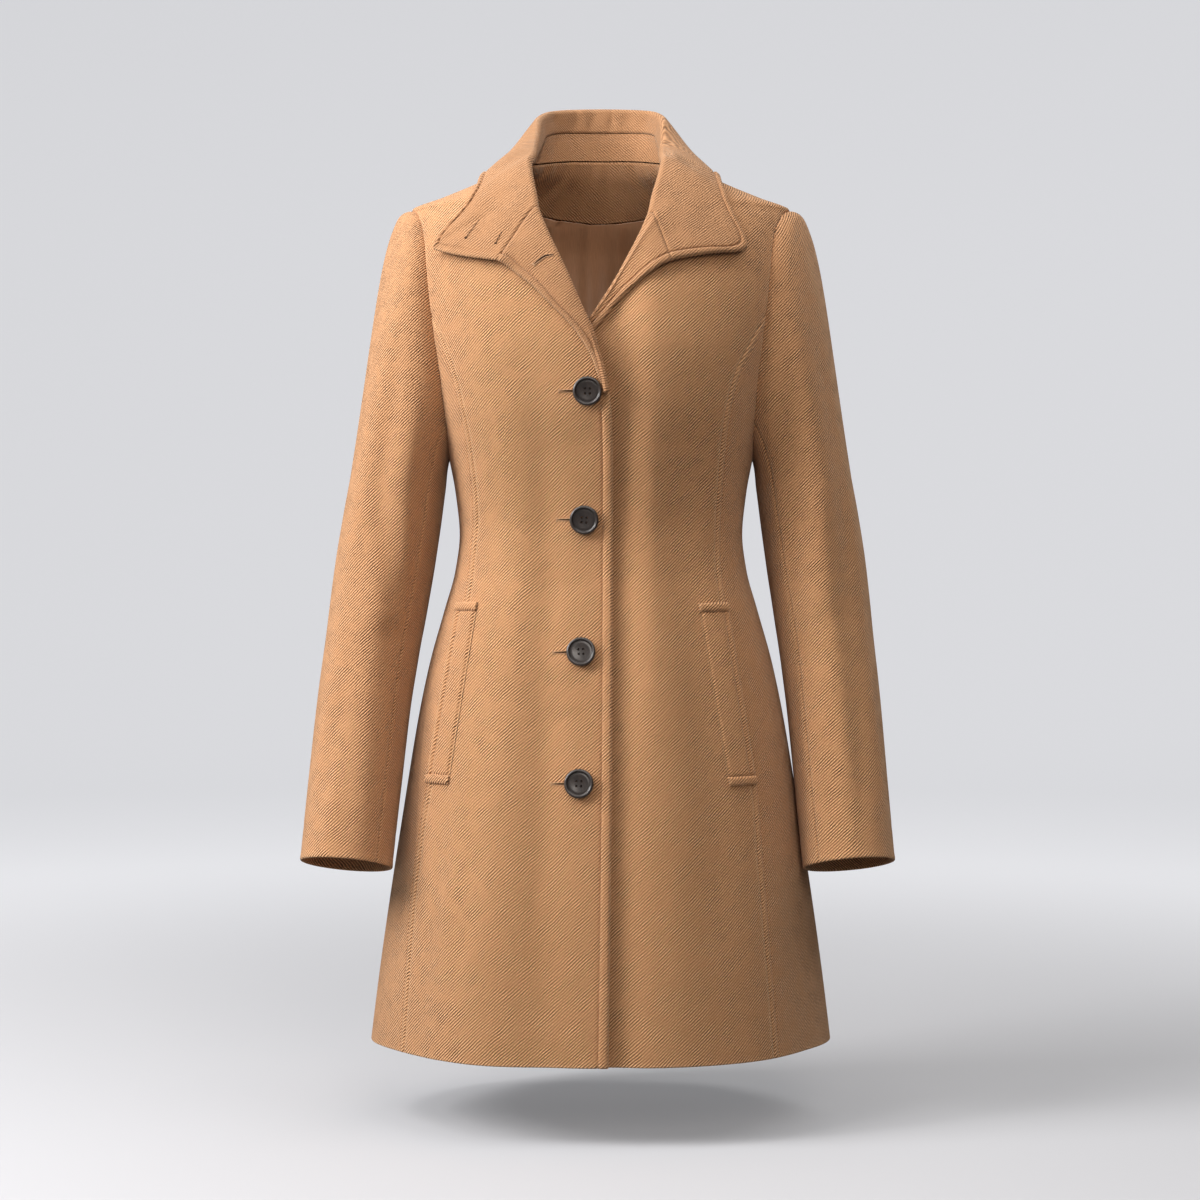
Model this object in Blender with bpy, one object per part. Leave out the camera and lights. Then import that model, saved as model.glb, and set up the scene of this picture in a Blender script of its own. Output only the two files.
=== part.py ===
"""A woman's single-breasted wool overcoat, hollow and filled out as it hangs when worn.

Metres, +Z up, front towards -Y. The origin lies midway between the shoulders, at shoulder
height, where the wearer's shoulders carry the coat. The wearer's right is at -X; the right
front laps over the left.

Every cloth piece is a closed wall worked out on one body form: level rings from a short table
of sections. Seams are short tables or curves on that form, and each piece is the grid of points
between its seams, with a second layer set in by the cloth's thickness.
"""

import math

import bmesh
import bpy
from mathutils import Vector

MM = 0.001

# ---------------------------------------------------------------- driving dimensions
WOOL = 2.6 * MM                 # coating with its backing
LAPEL_WALL = 2.8 * MM           # two layers pressed together
LINING = 1.1 * MM
FACING = 1.6 * MM
SEAM_GAP = 0.3 * MM
LYING_GAP = 0.5 * MM            # between a panel and a welt that lies on it
LEAF_GAP = 1.3 * MM             # between a panel and the turned collar or lapel
BUTTON_GAP = 0.6 * MM           # taken up by the sewing thread

HEM_HEIGHT = -866 * MM
UNDERARM_HEIGHT = -272 * MM
SHOULDER_TIP_HEIGHT = -17.5 * MM
NECK_POINT_HEIGHT = 34 * MM     # where the shoulder seam meets the collar
BACK_NECK_HEIGHT = 48 * MM      # the neck seam at the centre back

# Level sections of the body form, in mm. "squareness" is the power of the oval: 2 is an ellipse.
BODY_COLUMNS = ("height", "half_width", "front", "back", "squareness")
BODY_SECTIONS = (
    (-866.0, 232.0, 170.0, 162.0, 2.10),
    (-760.0, 219.5, 160.0, 152.0, 2.10),
    (-650.0, 205.0, 147.0, 141.0, 2.10),
    (-540.0, 188.0, 131.0, 128.0, 2.15),
    (-480.0, 175.5, 121.0, 119.0, 2.20),
    (-427.0, 160.7, 112.0, 107.0, 2.25),
    (-386.0, 149.5, 106.0, 98.0, 2.25),
    (-350.0, 145.2, 104.0, 94.0, 2.30),
    (-310.0, 149.0, 108.0, 97.0, 2.30),
    (-272.0, 156.0, 116.0, 103.0, 2.30),
    (-220.0, 168.0, 126.0, 109.0, 2.30),
    (-170.0, 178.0, 129.0, 112.0, 2.30),
    (-125.0, 186.0, 124.0, 114.0, 2.30),
    (-85.0, 192.0, 115.0, 113.0, 2.22),
    (-50.0, 195.0, 104.0, 109.0, 2.06),
    (-30.0, 196.0, 95.0, 103.5, 1.90),
    (-17.5, 196.0, 88.0, 99.0, 1.76),
    (-5.0, 166.0, 81.0, 94.5, 1.78),
    (7.0, 136.0, 75.0, 90.0, 1.84),
    (20.0, 107.0, 69.0, 85.0, 1.93),
    (34.0, 80.0, 62.0, 80.0, 2.00),
    (50.0, 72.0, 55.0, 77.0, 2.00),
)

# Soft waves of the flared skirt: angle and width in degrees, depth and the height it fades at in
# mm. Angles run from the centre front, positive to the wearer's left.
SKIRT_WAVES = (
    (-30.0, 11.0, 4.5, -500.0),
    (-60.0, 13.0, -4.0, -470.0),
    (-84.0, 12.0, 4.0, -560.0),
    (33.0, 12.0, 4.0, -520.0),
    (61.0, 12.0, -4.5, -480.0),
    (86.0, 12.0, 3.5, -540.0),
    (118.0, 13.0, -5.0, -480.0),
    (146.0, 12.0, 5.5, -500.0),
    (-116.0, 13.0, -4.5, -500.0),
    (-149.0, 13.0, 5.0, -470.0),
)

# Seams and edges on the fronts: the height and how far out from the middle they lie, in mm.
SEAM_COLUMNS = ("height", "across")
PRINCESS_SEAMS = {
    "right": (
        (-866.0, -199.5), (-756.0, -192.0), (-681.0, -184.0), (-602.0, -171.0), (-500.0, -149.0),
        (-414.0, -132.0), (-373.0, -127.3), (-338.0, -124.4), (-312.0, -125.2), (-262.0, -130.7),
        (-230.0, -137.0), (-195.0, -145.0), (-158.0, -160.0), (-129.6, -174.0),
    ),
    "left": (
        (-866.0, 171.0), (-756.0, 163.5), (-681.0, 157.5), (-602.0, 151.0), (-500.0, 133.5),
        (-417.0, 119.5), (-377.0, 116.0), (-338.0, 116.0), (-312.0, 117.0), (-262.0, 120.3),
        (-230.0, 124.3), (-195.0, 132.5), (-158.0, 148.0), (-129.6, 163.5),
    ),
}
FRONT_EDGES = {
    "right": (
        (-866.0, 7.0), (-553.0, 10.7), (-300.0, 11.6), (-247.0, 10.8), (-218.0, 8.6), (-190.6, -1.2),
        (-157.0, -11.5), (-123.0, -26.0), (-100.0, -36.0), (-74.0, -48.0), (-52.0, -58.0),
        (-34.0, -64.5), (-20.0, -68.5), (0.0, -72.5), (20.0, -75.5), (34.0, -76.0),
    ),
    "left": (
        (-866.0, -44.0), (-553.0, -47.0), (-300.0, -48.0), (-247.0, -48.0), (-218.0, -47.5),
        (-190.6, -37.0), (-165.0, -21.5), (-142.0, -7.0), (-120.0, 7.0),
        (-99.0, 19.0), (-75.0, 33.0), (-48.0, 47.5), (-33.0, 53.5), (-20.0, 57.0), (0.0, 63.5),
        (20.0, 70.0), (34.0, 75.0),
    ),
}

# How deep the left front lies under the right one, and deeper still under the turned lapel.
LAP_STARTS, LAP_FULL = 60 * MM, 10 * MM
LAP_DEPTH = 3.9 * MM
LAPEL_LAP_DEPTH = 11.2 * MM
LAPEL_LAP_STARTS, LAPEL_LAP_FULL = -290 * MM, -214 * MM

# Armholes: the angle steps round each half, from the shoulder tip to the underarm.
ARMHOLE_STEPS = (0, 16, 34, 52, 69, 85, 97, 108, 122, 136, 151, 166, 180)
ARMHOLE_SQUARENESS = 2.3
ARMHOLE_FRONT_WIDTH = {"right": 56 * MM, "left": 64 * MM}
ARMHOLE_BACK_WIDTH = 58 * MM
PRINCESS_STEP = 85              # the armhole step where the princess seam begins

# Sleeve sections from just below the underarm to the cuff, in mm.
SLEEVE_COLUMNS = ("height", "out", "forward", "half_width", "half_depth")
SLEEVE_SECTIONS = (
    (-300.0, 209.5, 4.0, 49.2, 65.0),
    (-338.0, 215.5, 4.0, 50.3, 64.5),
    (-376.0, 221.2, 2.0, 50.7, 63.0),
    (-417.0, 226.8, -2.0, 50.0, 61.0),
    (-458.0, 231.8, -8.0, 48.9, 59.0),
    (-520.0, 239.1, -20.0, 47.9, 56.0),
    (-602.0, 246.2, -38.0, 47.0, 53.0),
    (-683.0, 252.6, -58.0, 46.2, 50.0),
)
SLEEVE_SIDE_SHIFT = {"right": 3.4 * MM, "left": -3.4 * MM}    # at the cuff
SLEEVE_ROWS = 9
SLEEVE_HEAD_ROWS = 6
SLEEVE_HEAD_FULLNESS = 30 * MM
SLEEVE_SEAM_INSET = 0.45 * MM   # inside the armhole's edge
SLEEVE_SEAM_RISE = 0.35 * MM    # above the armhole's edge
FRONT_SLEEVE_SEAM, BACK_SLEEVE_SEAM = 136, 238    # steps of the armhole, both sides of the arm
# Lengthwise folds of the sleeves: height in mm, angle round in degrees, length in mm, width in
# degrees, depth in mm.
SLEEVE_FOLDS = (
    (-400.0, 60.0, 90.0, 22.0, -3.0),
    (-430.0, 95.0, 70.0, 20.0, 2.2),
    (-455.0, 125.0, 60.0, 20.0, -3.0),
    (-545.0, 70.0, 80.0, 22.0, -2.0),
    (-420.0, 250.0, 80.0, 24.0, -3.0),
    (-500.0, 290.0, 80.0, 24.0, 2.0),
)

# The turned collar and lapels, from the right lapel's foot round the neck to the left one's.
# "roll" is the crest of the fold and "edge" the outer edge, in mm; an edge_y of None lies on
# the front. "stand" is how far the cloth runs down inside from the fold.
TURN_COLUMNS = ("roll_x", "roll_y", "roll_z", "edge_x", "edge_y", "edge_z", "stand")
RIGHT_LAPEL = (
    (10.6, None, -214.0, 3.5, None, -214.0, 9.0),
    (7.0, None, -200.0, -2.0, None, -199.5, 9.0),
    (2.5, None, -184.0, -8.0, None, -181.5, 12.0),
    (-5.8, None, -157.0, -25.0, None, -155.0, 18.0),
    (-20.5, None, -123.4, -54.7, None, -123.0, 20.0),
    (-30.3, None, -100.0, -66.5, None, -110.7, 20.0),
    (-42.2, None, -73.6, -81.4, None, -98.5, 20.0),
    (-52.2, None, -51.7, -91.0, None, -90.5, 20.0),
)
RIGHT_GORGE = ((-61.0, None, -28.0, -99.5, None, -85.5, 20.0),)
RIGHT_COLLAR = (
    (-62.3, None, -22.0, -127.6, None, -79.8, 18.0),
    (-62.8, None, -18.0, -148.3, None, -74.0, 17.0),
    (-63.4, None, -14.5, -162.0, None, -67.5, 16.0),
    (-65.0, None, -6.0, -158.0, None, -57.0, 15.0),
    (-67.5, None, 6.0, -145.5, None, -38.5, 14.0),
    (-70.5, None, 27.0, -134.0, -43.0, -18.0, 12.0),
    (-70.0, -12.0, 46.0, -127.5, -22.0, 1.0, 11.0),
    (-68.5, 11.0, 64.0, -123.0, 4.0, 14.0, 17.0),
    (-67.5, 34.0, 84.0, -113.0, 38.0, 17.0, 21.0),
    (-57.0, 60.0, 98.0, -86.0, 68.0, 20.0, 24.0),
    (-32.0, 79.0, 104.5, -45.0, 86.0, 25.0, 26.0),
)
CENTRE_BACK = ((0.0, 84.0, 106.0, 0.0, 91.0, 27.0, 27.0),)
LEFT_COLLAR = (
    (32.0, 79.0, 104.5, 45.0, 86.0, 26.0, 26.0),
    (56.5, 60.0, 98.5, 86.0, 68.0, 22.0, 24.0),
    (66.5, 34.0, 85.0, 112.0, 38.0, 20.0, 21.0),
    (66.5, 11.0, 64.5, 121.5, 4.0, 19.0, 17.0),
    (64.0, -12.0, 46.0, 123.0, -22.0, 8.0, 11.0),
    (61.0, None, 27.0, 126.5, -43.0, -12.0, 12.0),
    (55.5, None, 4.0, 132.5, None, -36.0, 14.0),
    (51.0, None, -11.0, 140.5, None, -57.5, 15.0),
    (49.0, None, -20.0, 142.2, None, -67.0, 16.0),
    (48.3, None, -24.0, 134.0, None, -73.0, 17.0),
    (47.5, None, -27.5, 109.5, None, -76.5, 18.0),
)
LEFT_GORGE = ((46.0, None, -33.5, 68.0, None, -86.0, 20.0),)
LEFT_LAPEL = (
    (40.4, None, -47.7, 50.9, None, -95.0, 20.0),
    (26.5, None, -74.8, 33.2, None, -108.2, 20.0),
    (12.7, None, -99.3, 16.6, None, -123.4, 20.0),
    (-3.0, None, -125.0, 1.9, None, -142.0, 18.0),
    (-23.0, None, -157.0, -22.0, None, -171.5, 14.0),
    (-43.0, None, -190.0, -44.0, None, -202.0, 10.0),
)
FOLD_RADIUS = 5.3 * MM
LEAF_BULGE = 3.0 * MM
ROLL_RISES_FROM, ROLL_RISES_TO = 27 * MM, 46 * MM    # where the fold leaves the fronts
TURN_SPACING = 18 * MM          # between sections round the neck
NECK_HALF_WIDTH, NECK_HALF_DEPTH = 70 * MM, 85 * MM

# Pocket welts, slanting along the princess seams: height, inner corner and outer corner of the
# top and then of the foot, in mm.
POCKET_WELTS = {
    "right": ((-419.0, -122.5, -145.0), (-600.0, -151.0, -176.0)),
    "left": ((-419.5, 97.5, 126.0), (-600.0, 127.5, 154.5)),
}
WELT_THICKNESS = 2.2 * MM

# Four-hole buttons down the lap.
BUTTON_DIAMETER = 28.8 * MM
BUTTON_THICKNESS = 4.6 * MM
BUTTON_HOLE_DIAMETER = 2.6 * MM
BUTTON_HOLE_PITCH = 6.0 * MM
BUTTON_PLACES = ((-13.2, -213.0), (-16.5, -338.0), (-19.6, -468.0), (-21.4, -595.5))

LINING_HEM_HEIGHT = HEM_HEIGHT + 32 * MM
CUFF_LINING_LENGTH = 110 * MM
CUFF_LINING_INSET = 16 * MM
CUFF_LINING_GAP = 1.0 * MM

# ---------------------------------------------------------------- materials
WOOL_COLOUR = (0.40, 0.235, 0.120, 1.0)
LINING_COLOUR = (0.30, 0.175, 0.095, 1.0)
BUTTON_COLOUR = (0.055, 0.040, 0.032, 1.0)


def new_material(name, colour, roughness):
    """A plain finish with one colour, roughness and no metal."""
    material = bpy.data.materials.new(name)
    material.use_nodes = True
    shader = material.node_tree.nodes["Principled BSDF"]
    shader.inputs["Base Color"].default_value = colour
    shader.inputs["Roughness"].default_value = roughness
    shader.inputs["Metallic"].default_value = 0.0
    material.diffuse_color = colour
    return material


# ---------------------------------------------------------------- curves through tables
def column(table, columns, name):
    """One named column of a table, as a list."""
    place = columns.index(name)
    return [row[place] for row in table]


def smooth(x, xs, ys):
    """A smooth curve through the points (xs, ys) that never overshoots between them."""
    if x <= xs[0]:
        return ys[0]
    if x >= xs[-1]:
        return ys[-1]
    steps = [b - a for a, b in zip(xs, xs[1:])]
    rates = [(b - a) / step for a, b, step in zip(ys, ys[1:], steps)]
    k = max(i for i in range(len(steps)) if xs[i] <= x)

    def slope(i):
        if i == 0:
            return rates[0]
        if i == len(rates):
            return rates[-1]
        before, after = rates[i - 1], rates[i]
        if before * after <= 0.0:
            return 0.0
        first, second = 2 * steps[i] + steps[i - 1], steps[i] + 2 * steps[i - 1]
        return (first + second) / (first / before + second / after)

    t = (x - xs[k]) / steps[k]
    rise = ys[k] * (1 + 2 * t) * (1 - t) ** 2 + ys[k + 1] * t * t * (3 - 2 * t)
    return rise + steps[k] * (slope(k) * t * (1 - t) ** 2 + slope(k + 1) * t * t * (t - 1))


def ramp(x, start, end):
    """Goes softly from 0 at start to 1 at end."""
    t = min(max((x - start) / (end - start), 0.0), 1.0)
    return t * t * (3 - 2 * t)


# ---------------------------------------------------------------- the body form
HEIGHTS = [height * MM for height in column(BODY_SECTIONS, BODY_COLUMNS, "height")]
HALF_WIDTHS = [size * MM for size in column(BODY_SECTIONS, BODY_COLUMNS, "half_width")]
FRONT_DEPTHS = [size * MM for size in column(BODY_SECTIONS, BODY_COLUMNS, "front")]
BACK_DEPTHS = [size * MM for size in column(BODY_SECTIONS, BODY_COLUMNS, "back")]
SQUARENESS = column(BODY_SECTIONS, BODY_COLUMNS, "squareness")


def body_section(z):
    """Half width, front depth, back depth and squareness of the form at a height."""
    return (
        smooth(z, HEIGHTS, HALF_WIDTHS),
        smooth(z, HEIGHTS, FRONT_DEPTHS),
        smooth(z, HEIGHTS, BACK_DEPTHS),
        smooth(z, HEIGHTS, SQUARENESS),
    )


def skirt_wave(angle, z):
    """How far the flared cloth stands out or in at an angle (radians) and height."""
    total = 0.0
    for centre, width, depth, top in SKIRT_WAVES:
        turn = math.degrees(angle) - centre
        turn = (turn + 180.0) % 360.0 - 180.0
        share = ramp(z, top * MM, HEM_HEIGHT)
        total += depth * MM * share * math.exp(-((turn / width) ** 2))
    return total


def body_point(angle, z):
    """The form's outer surface. Angle 0 is the centre front, 90 degrees the wearer's left."""
    half_width, front, back, power = body_section(z)
    sine, cosine = math.sin(angle), math.cos(angle)
    depth = front if cosine >= 0 else back
    reach = (abs(sine) ** power + abs(cosine) ** power) ** (-1.0 / power)
    wave = skirt_wave(angle, z)
    return Vector(((half_width * reach + wave) * sine, -(depth * reach + wave) * cosine, z))


def body_normal(angle, z):
    """The outward direction of the form."""
    turn, rise = 0.004, 1.0 * MM
    across = body_point(angle + turn, z) - body_point(angle - turn, z)
    upward = body_point(angle, z + rise) - body_point(angle, z - rise)
    return across.cross(upward).normalized()


def front_angle(x, z):
    """The angle at which the front of the form lies at x."""
    half_width, _, _, power = body_section(z)
    across = max(-0.99999, min(0.99999, x / half_width))
    return math.atan2(across, (1 - abs(across) ** power) ** (1.0 / power))


def side_angle(y, z, side):
    """The angle at which one side of the form lies at y."""
    _, front, back, power = body_section(z)
    depth = front if y <= 0 else back
    along = min(abs(y) / depth, 0.99999)
    across = (1 - along**power) ** (1.0 / power)
    return side * math.atan2(across, along if y <= 0 else -along)


def height_above_body(point):
    """Roughly how far a point lies outside the form, with the outward direction."""

    def ratio(x, y, z):
        half_width, front, back, power = body_section(z)
        depth = front if y <= 0 else back
        return ((abs(x) / half_width) ** power + (abs(y) / depth) ** power) ** (1.0 / power)

    step = 0.5 * MM
    x, y, z = point
    slope = Vector((
        ratio(x + step, y, z) - ratio(x - step, y, z),
        ratio(x, y + step, z) - ratio(x, y - step, z),
        ratio(x, y, z + step) - ratio(x, y, z - step),
    )) / (2 * step)
    return (ratio(x, y, z) - 1.0) / slope.length, slope.normalized()


def lap_depth(x, z):
    """How far the left front lies in behind the right one."""
    across = ramp(x, LAP_STARTS, LAP_FULL)
    upward = ramp(z, LAPEL_LAP_STARTS, LAPEL_LAP_FULL)
    return across * (LAP_DEPTH + (LAPEL_LAP_DEPTH - LAP_DEPTH) * upward)


# ---------------------------------------------------------------- seams as angles on the form
SIDES = {"right": -1.0, "left": 1.0}


def seam_angle(table, z):
    """The angle of a tabled seam or edge on the front at a height."""
    heights = [height * MM for height in column(table, SEAM_COLUMNS, "height")]
    places = [place * MM for place in column(table, SEAM_COLUMNS, "across")]
    return front_angle(smooth(z, heights, places), z)


ARMHOLE_MIDDLE = (SHOULDER_TIP_HEIGHT + UNDERARM_HEIGHT) / 2
ARMHOLE_HALF_HEIGHT = (SHOULDER_TIP_HEIGHT - UNDERARM_HEIGHT) / 2


def armhole_height(step):
    """The height on the armhole at a step in degrees, 0 at the tip and 180 at the underarm."""
    cosine = math.cos(math.radians(step))
    share = abs(cosine) ** (2 / ARMHOLE_SQUARENESS)
    return ARMHOLE_MIDDLE + math.copysign(share, cosine) * ARMHOLE_HALF_HEIGHT


def armhole_reach(z, side_name, face):
    """How far the armhole stands forward (face -1) or back (face +1) of its middle."""
    along = min(abs((z - ARMHOLE_MIDDLE) / ARMHOLE_HALF_HEIGHT), 1.0)
    width = ARMHOLE_FRONT_WIDTH[side_name] if face < 0 else ARMHOLE_BACK_WIDTH
    return face * width * (1 - along**ARMHOLE_SQUARENESS) ** (1 / ARMHOLE_SQUARENESS)


def armhole_angle(z, side_name, face):
    """The angle of the armhole seam at a height, on the front or the back."""
    return side_angle(armhole_reach(z, side_name, face), z, SIDES[side_name])


PRINCESS_TOP = armhole_height(PRINCESS_STEP)
PRINCESS_BENDS = -200 * MM


def princess_angle(z, side_name):
    """The princess seam, drawn to meet the armhole where it begins."""
    table = PRINCESS_SEAMS[side_name]
    miss = armhole_angle(PRINCESS_TOP, side_name, -1) - seam_angle(table, PRINCESS_TOP)
    return seam_angle(table, z) + miss * ramp(z, PRINCESS_BENDS, PRINCESS_TOP)


def outer_front_angle(z, side_name):
    """The outer boundary of a front: princess seam, armhole, then shoulder seam."""
    if z < PRINCESS_TOP - 0.01 * MM:
        return princess_angle(z, side_name)
    if z < SHOULDER_TIP_HEIGHT - 0.01 * MM:
        return armhole_angle(z, side_name, -1)
    return SIDES[side_name] * math.pi / 2


def outer_back_angle(z, side_name):
    """The outer boundary of the back: side seam, armhole, then shoulder seam."""
    if UNDERARM_HEIGHT + 0.01 * MM < z < SHOULDER_TIP_HEIGHT - 0.01 * MM:
        return armhole_angle(z, side_name, 1)
    return SIDES[side_name] * math.pi / 2


def outer_side_angle(z, side_name):
    """The outer boundary of a side front: side seam, then armhole."""
    if z > UNDERARM_HEIGHT + 0.01 * MM:
        return armhole_angle(z, side_name, -1)
    return SIDES[side_name] * math.pi / 2


def back_neck_top(angle):
    """The height of the neck seam round the back."""
    share = 1 - abs(math.sin(angle)) ** 3
    return NECK_POINT_HEIGHT + (BACK_NECK_HEIGHT - NECK_POINT_HEIGHT) * share


def facing_edge(angle):
    """The height of the lower edge of the back neck facing."""
    return (-13.5 + 30.0 * abs(math.sin(angle)) ** 1.5) * MM


# ---------------------------------------------------------------- heights of the grid rows
SKIRT_HEIGHTS = [
    z * MM
    for z in (-866, -808, -750, -693, -638, -585, -534, -487, -444, -405, -370, -338, -305)
]
ARMHOLE_HEIGHTS = [armhole_height(step) for step in reversed(ARMHOLE_STEPS)]
SHOULDER_ROWS = 4
SHOULDER_HEIGHTS = [
    SHOULDER_TIP_HEIGHT + (NECK_POINT_HEIGHT - SHOULDER_TIP_HEIGHT) * k / SHOULDER_ROWS
    for k in range(1, SHOULDER_ROWS + 1)
]
BODY_HEIGHTS = SKIRT_HEIGHTS + ARMHOLE_HEIGHTS + SHOULDER_HEIGHTS


# ---------------------------------------------------------------- meshes
def grid_normals(grid, closed=False):
    """Outward directions at a grid's points: along a row crossed with up the rows."""
    rows, columns = len(grid), len(grid[0])
    normals = []
    for i in range(rows):
        below, above = grid[max(i - 1, 0)], grid[min(i + 1, rows - 1)]
        line = []
        for j in range(columns):
            before = (j - 1) % columns if closed else max(j - 1, 0)
            after = (j + 1) % columns if closed else min(j + 1, columns - 1)
            across = grid[i][after] - grid[i][before]
            line.append(across.cross(above[j] - below[j]).normalized())
        normals.append(line)
    return normals


def wall_object(name, outer, inner, material, closed=False):
    """A closed wall between an outer and an inner grid of points."""
    mesh = bpy.data.meshes.new(name)
    shape = bmesh.new()
    rows, columns = len(outer), len(outer[0])
    face_out = [[shape.verts.new(point) for point in line] for line in outer]
    face_in = [[shape.verts.new(point) for point in line] for line in inner]
    last = columns if closed else columns - 1
    for i in range(rows - 1):
        for j in range(last):
            k = (j + 1) % columns
            shape.faces.new((face_out[i][j], face_out[i][k], face_out[i + 1][k], face_out[i + 1][j]))
            shape.faces.new((face_in[i][j], face_in[i + 1][j], face_in[i + 1][k], face_in[i][k]))
    for j in range(last):
        k = (j + 1) % columns
        shape.faces.new((face_out[0][k], face_out[0][j], face_in[0][j], face_in[0][k]))
        shape.faces.new((face_out[-1][j], face_out[-1][k], face_in[-1][k], face_in[-1][j]))
    if not closed:
        for i in range(rows - 1):
            shape.faces.new((face_out[i][0], face_out[i + 1][0], face_in[i + 1][0], face_in[i][0]))
            shape.faces.new((face_out[i + 1][-1], face_out[i][-1], face_in[i][-1], face_in[i + 1][-1]))
    bmesh.ops.remove_doubles(shape, verts=shape.verts, dist=0.005 * MM)
    bmesh.ops.triangulate(shape, faces=[face for face in shape.faces if len(face.verts) > 3])
    shape.to_mesh(mesh)
    shape.free()
    mesh.materials.append(material)
    mesh.shade_smooth()
    mesh.set_sharp_from_angle(angle=math.radians(40))
    placed = bpy.data.objects.new(name, mesh)
    bpy.context.scene.collection.objects.link(placed)
    return placed


def spread(first, last, columns, z, gap=SEAM_GAP / 2):
    """Angles from one seam to the other at a height, drawn in by the gap at both."""
    radius = body_point((first + last) / 2, z).xy.length
    width = abs(last - first) * radius
    if width < 0.2 * MM:
        return [(first + last) / 2] * (columns + 1)
    inset = math.copysign(min(gap, width / 4) / radius, last - first)
    return [first + inset + (last - first - 2 * inset) * j / columns for j in range(columns + 1)]


def panel(name, heights, angles_at, material, thickness=WOOL, depth=0.0, top=None,
          under_lap=False, shoulder_ease=0.0):
    """A piece of cloth on the form, through the angles that angles_at(z) gives at each height.

    depth sets the whole piece in from the form's surface, and top(angle) raises or lowers the
    rows above the shoulder tips.
    """
    outer, inner = [], []
    for z in heights:
        out_line, in_line = [], []
        for angle in angles_at(z):
            level = z
            if top is not None and z > SHOULDER_TIP_HEIGHT:
                share = (z - SHOULDER_TIP_HEIGHT) / (heights[-1] - SHOULDER_TIP_HEIGHT)
                level = SHOULDER_TIP_HEIGHT + share * (top(angle) - SHOULDER_TIP_HEIGHT)
            point, normal = body_point(angle, level), body_normal(angle, level)
            set_in = depth + (lap_depth(point.x, level) if under_lap else 0.0)
            set_in += shoulder_ease * ramp(z, -50 * MM, -15 * MM)
            out_line.append(point - normal * set_in)
            in_line.append(point - normal * (set_in + thickness))
        outer.append(out_line)
        inner.append(in_line)
    return wall_object(name, outer, inner, material)


FRONT_COLUMNS, SIDE_COLUMNS, BACK_COLUMNS = 7, 4, 8
SIDE_POINT_DROP = 1.5 * MM      # how far below the armhole the side front's point ends


def back_angles(z, side_name, gap=SEAM_GAP / 2):
    """The angles across one half of the back, from the wearer's left round to the right."""
    outer = outer_back_angle(z, side_name)
    if side_name == "left":
        return spread(outer, math.pi, BACK_COLUMNS, z, gap)
    return spread(math.pi, outer + 2 * math.pi, BACK_COLUMNS, z, gap)


def build_side(side_name, wool):
    """One half of the body: front, side front and back."""

    def front(z):
        edge = seam_angle(FRONT_EDGES[side_name], z)
        return sorted(spread(edge, outer_front_angle(z, side_name), FRONT_COLUMNS, z))

    def side_front(z):
        start, end = princess_angle(z, side_name), outer_side_angle(z, side_name)
        if z > side_heights[-2]:
            start = end = (start + end) / 2
        return sorted(spread(start, end, SIDE_COLUMNS, z))

    def back(z):
        return back_angles(z, side_name)

    side_heights = [z for z in BODY_HEIGHTS if z < PRINCESS_TOP - SIDE_POINT_DROP]
    side_heights.append(PRINCESS_TOP - SIDE_POINT_DROP)
    panel("front_" + side_name, BODY_HEIGHTS, front, wool, under_lap=side_name == "left")
    panel("side_front_" + side_name, side_heights, side_front, wool)
    panel("back_" + side_name, BODY_HEIGHTS, back, wool, top=back_neck_top)


# ---------------------------------------------------------------- inside of the back
FACING_SET_IN = WOOL + 1.1 * MM
LINING_SET_IN = WOOL + 0.5 * MM
LINING_SHOULDER_EASE = 1.8 * MM
LINING_EDGE_GAP = 3 * MM
LINING_TOP_RISE, LINING_TOP_ROWS = 32 * MM, 4


def lining_angles(z):
    """The angles across both halves of the back, a little short of the side seams."""
    whole = back_angles(z, "left", 0.0)[:-1] + back_angles(z, "right", 0.0)
    short = LINING_EDGE_GAP / body_point(whole[0], z).xy.length
    whole[0] += short
    whole[-1] -= short
    return whole


def build_back_inside(wool, satin):
    """The neck facing of the back and the lining below it."""
    outer, inner = [], []
    rows = 3
    for i in range(rows + 1):
        out_line, in_line = [], []
        for angle in lining_angles(NECK_POINT_HEIGHT):
            low, high = facing_edge(angle), back_neck_top(angle) - SEAM_GAP
            z = low + (high - low) * i / rows
            point, normal = body_point(angle, z), body_normal(angle, z)
            out_line.append(point - normal * FACING_SET_IN)
            in_line.append(point - normal * (FACING_SET_IN + FACING))
        outer.append(out_line)
        inner.append(in_line)
    wall_object("back_neck_facing", outer, inner, wool)

    heights = [z for z in BODY_HEIGHTS if LINING_HEM_HEIGHT + 5 * MM < z <= SHOULDER_TIP_HEIGHT + MM]
    heights = [LINING_HEM_HEIGHT] + heights
    heights += [SHOULDER_TIP_HEIGHT + LINING_TOP_RISE * k / LINING_TOP_ROWS
                for k in range(1, LINING_TOP_ROWS + 1)]

    def lining_top(angle):
        return facing_edge(angle) - SEAM_GAP

    panel("back_lining", heights, lining_angles, satin, thickness=LINING, depth=LINING_SET_IN,
          top=lining_top, shoulder_ease=LINING_SHOULDER_EASE)


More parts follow.
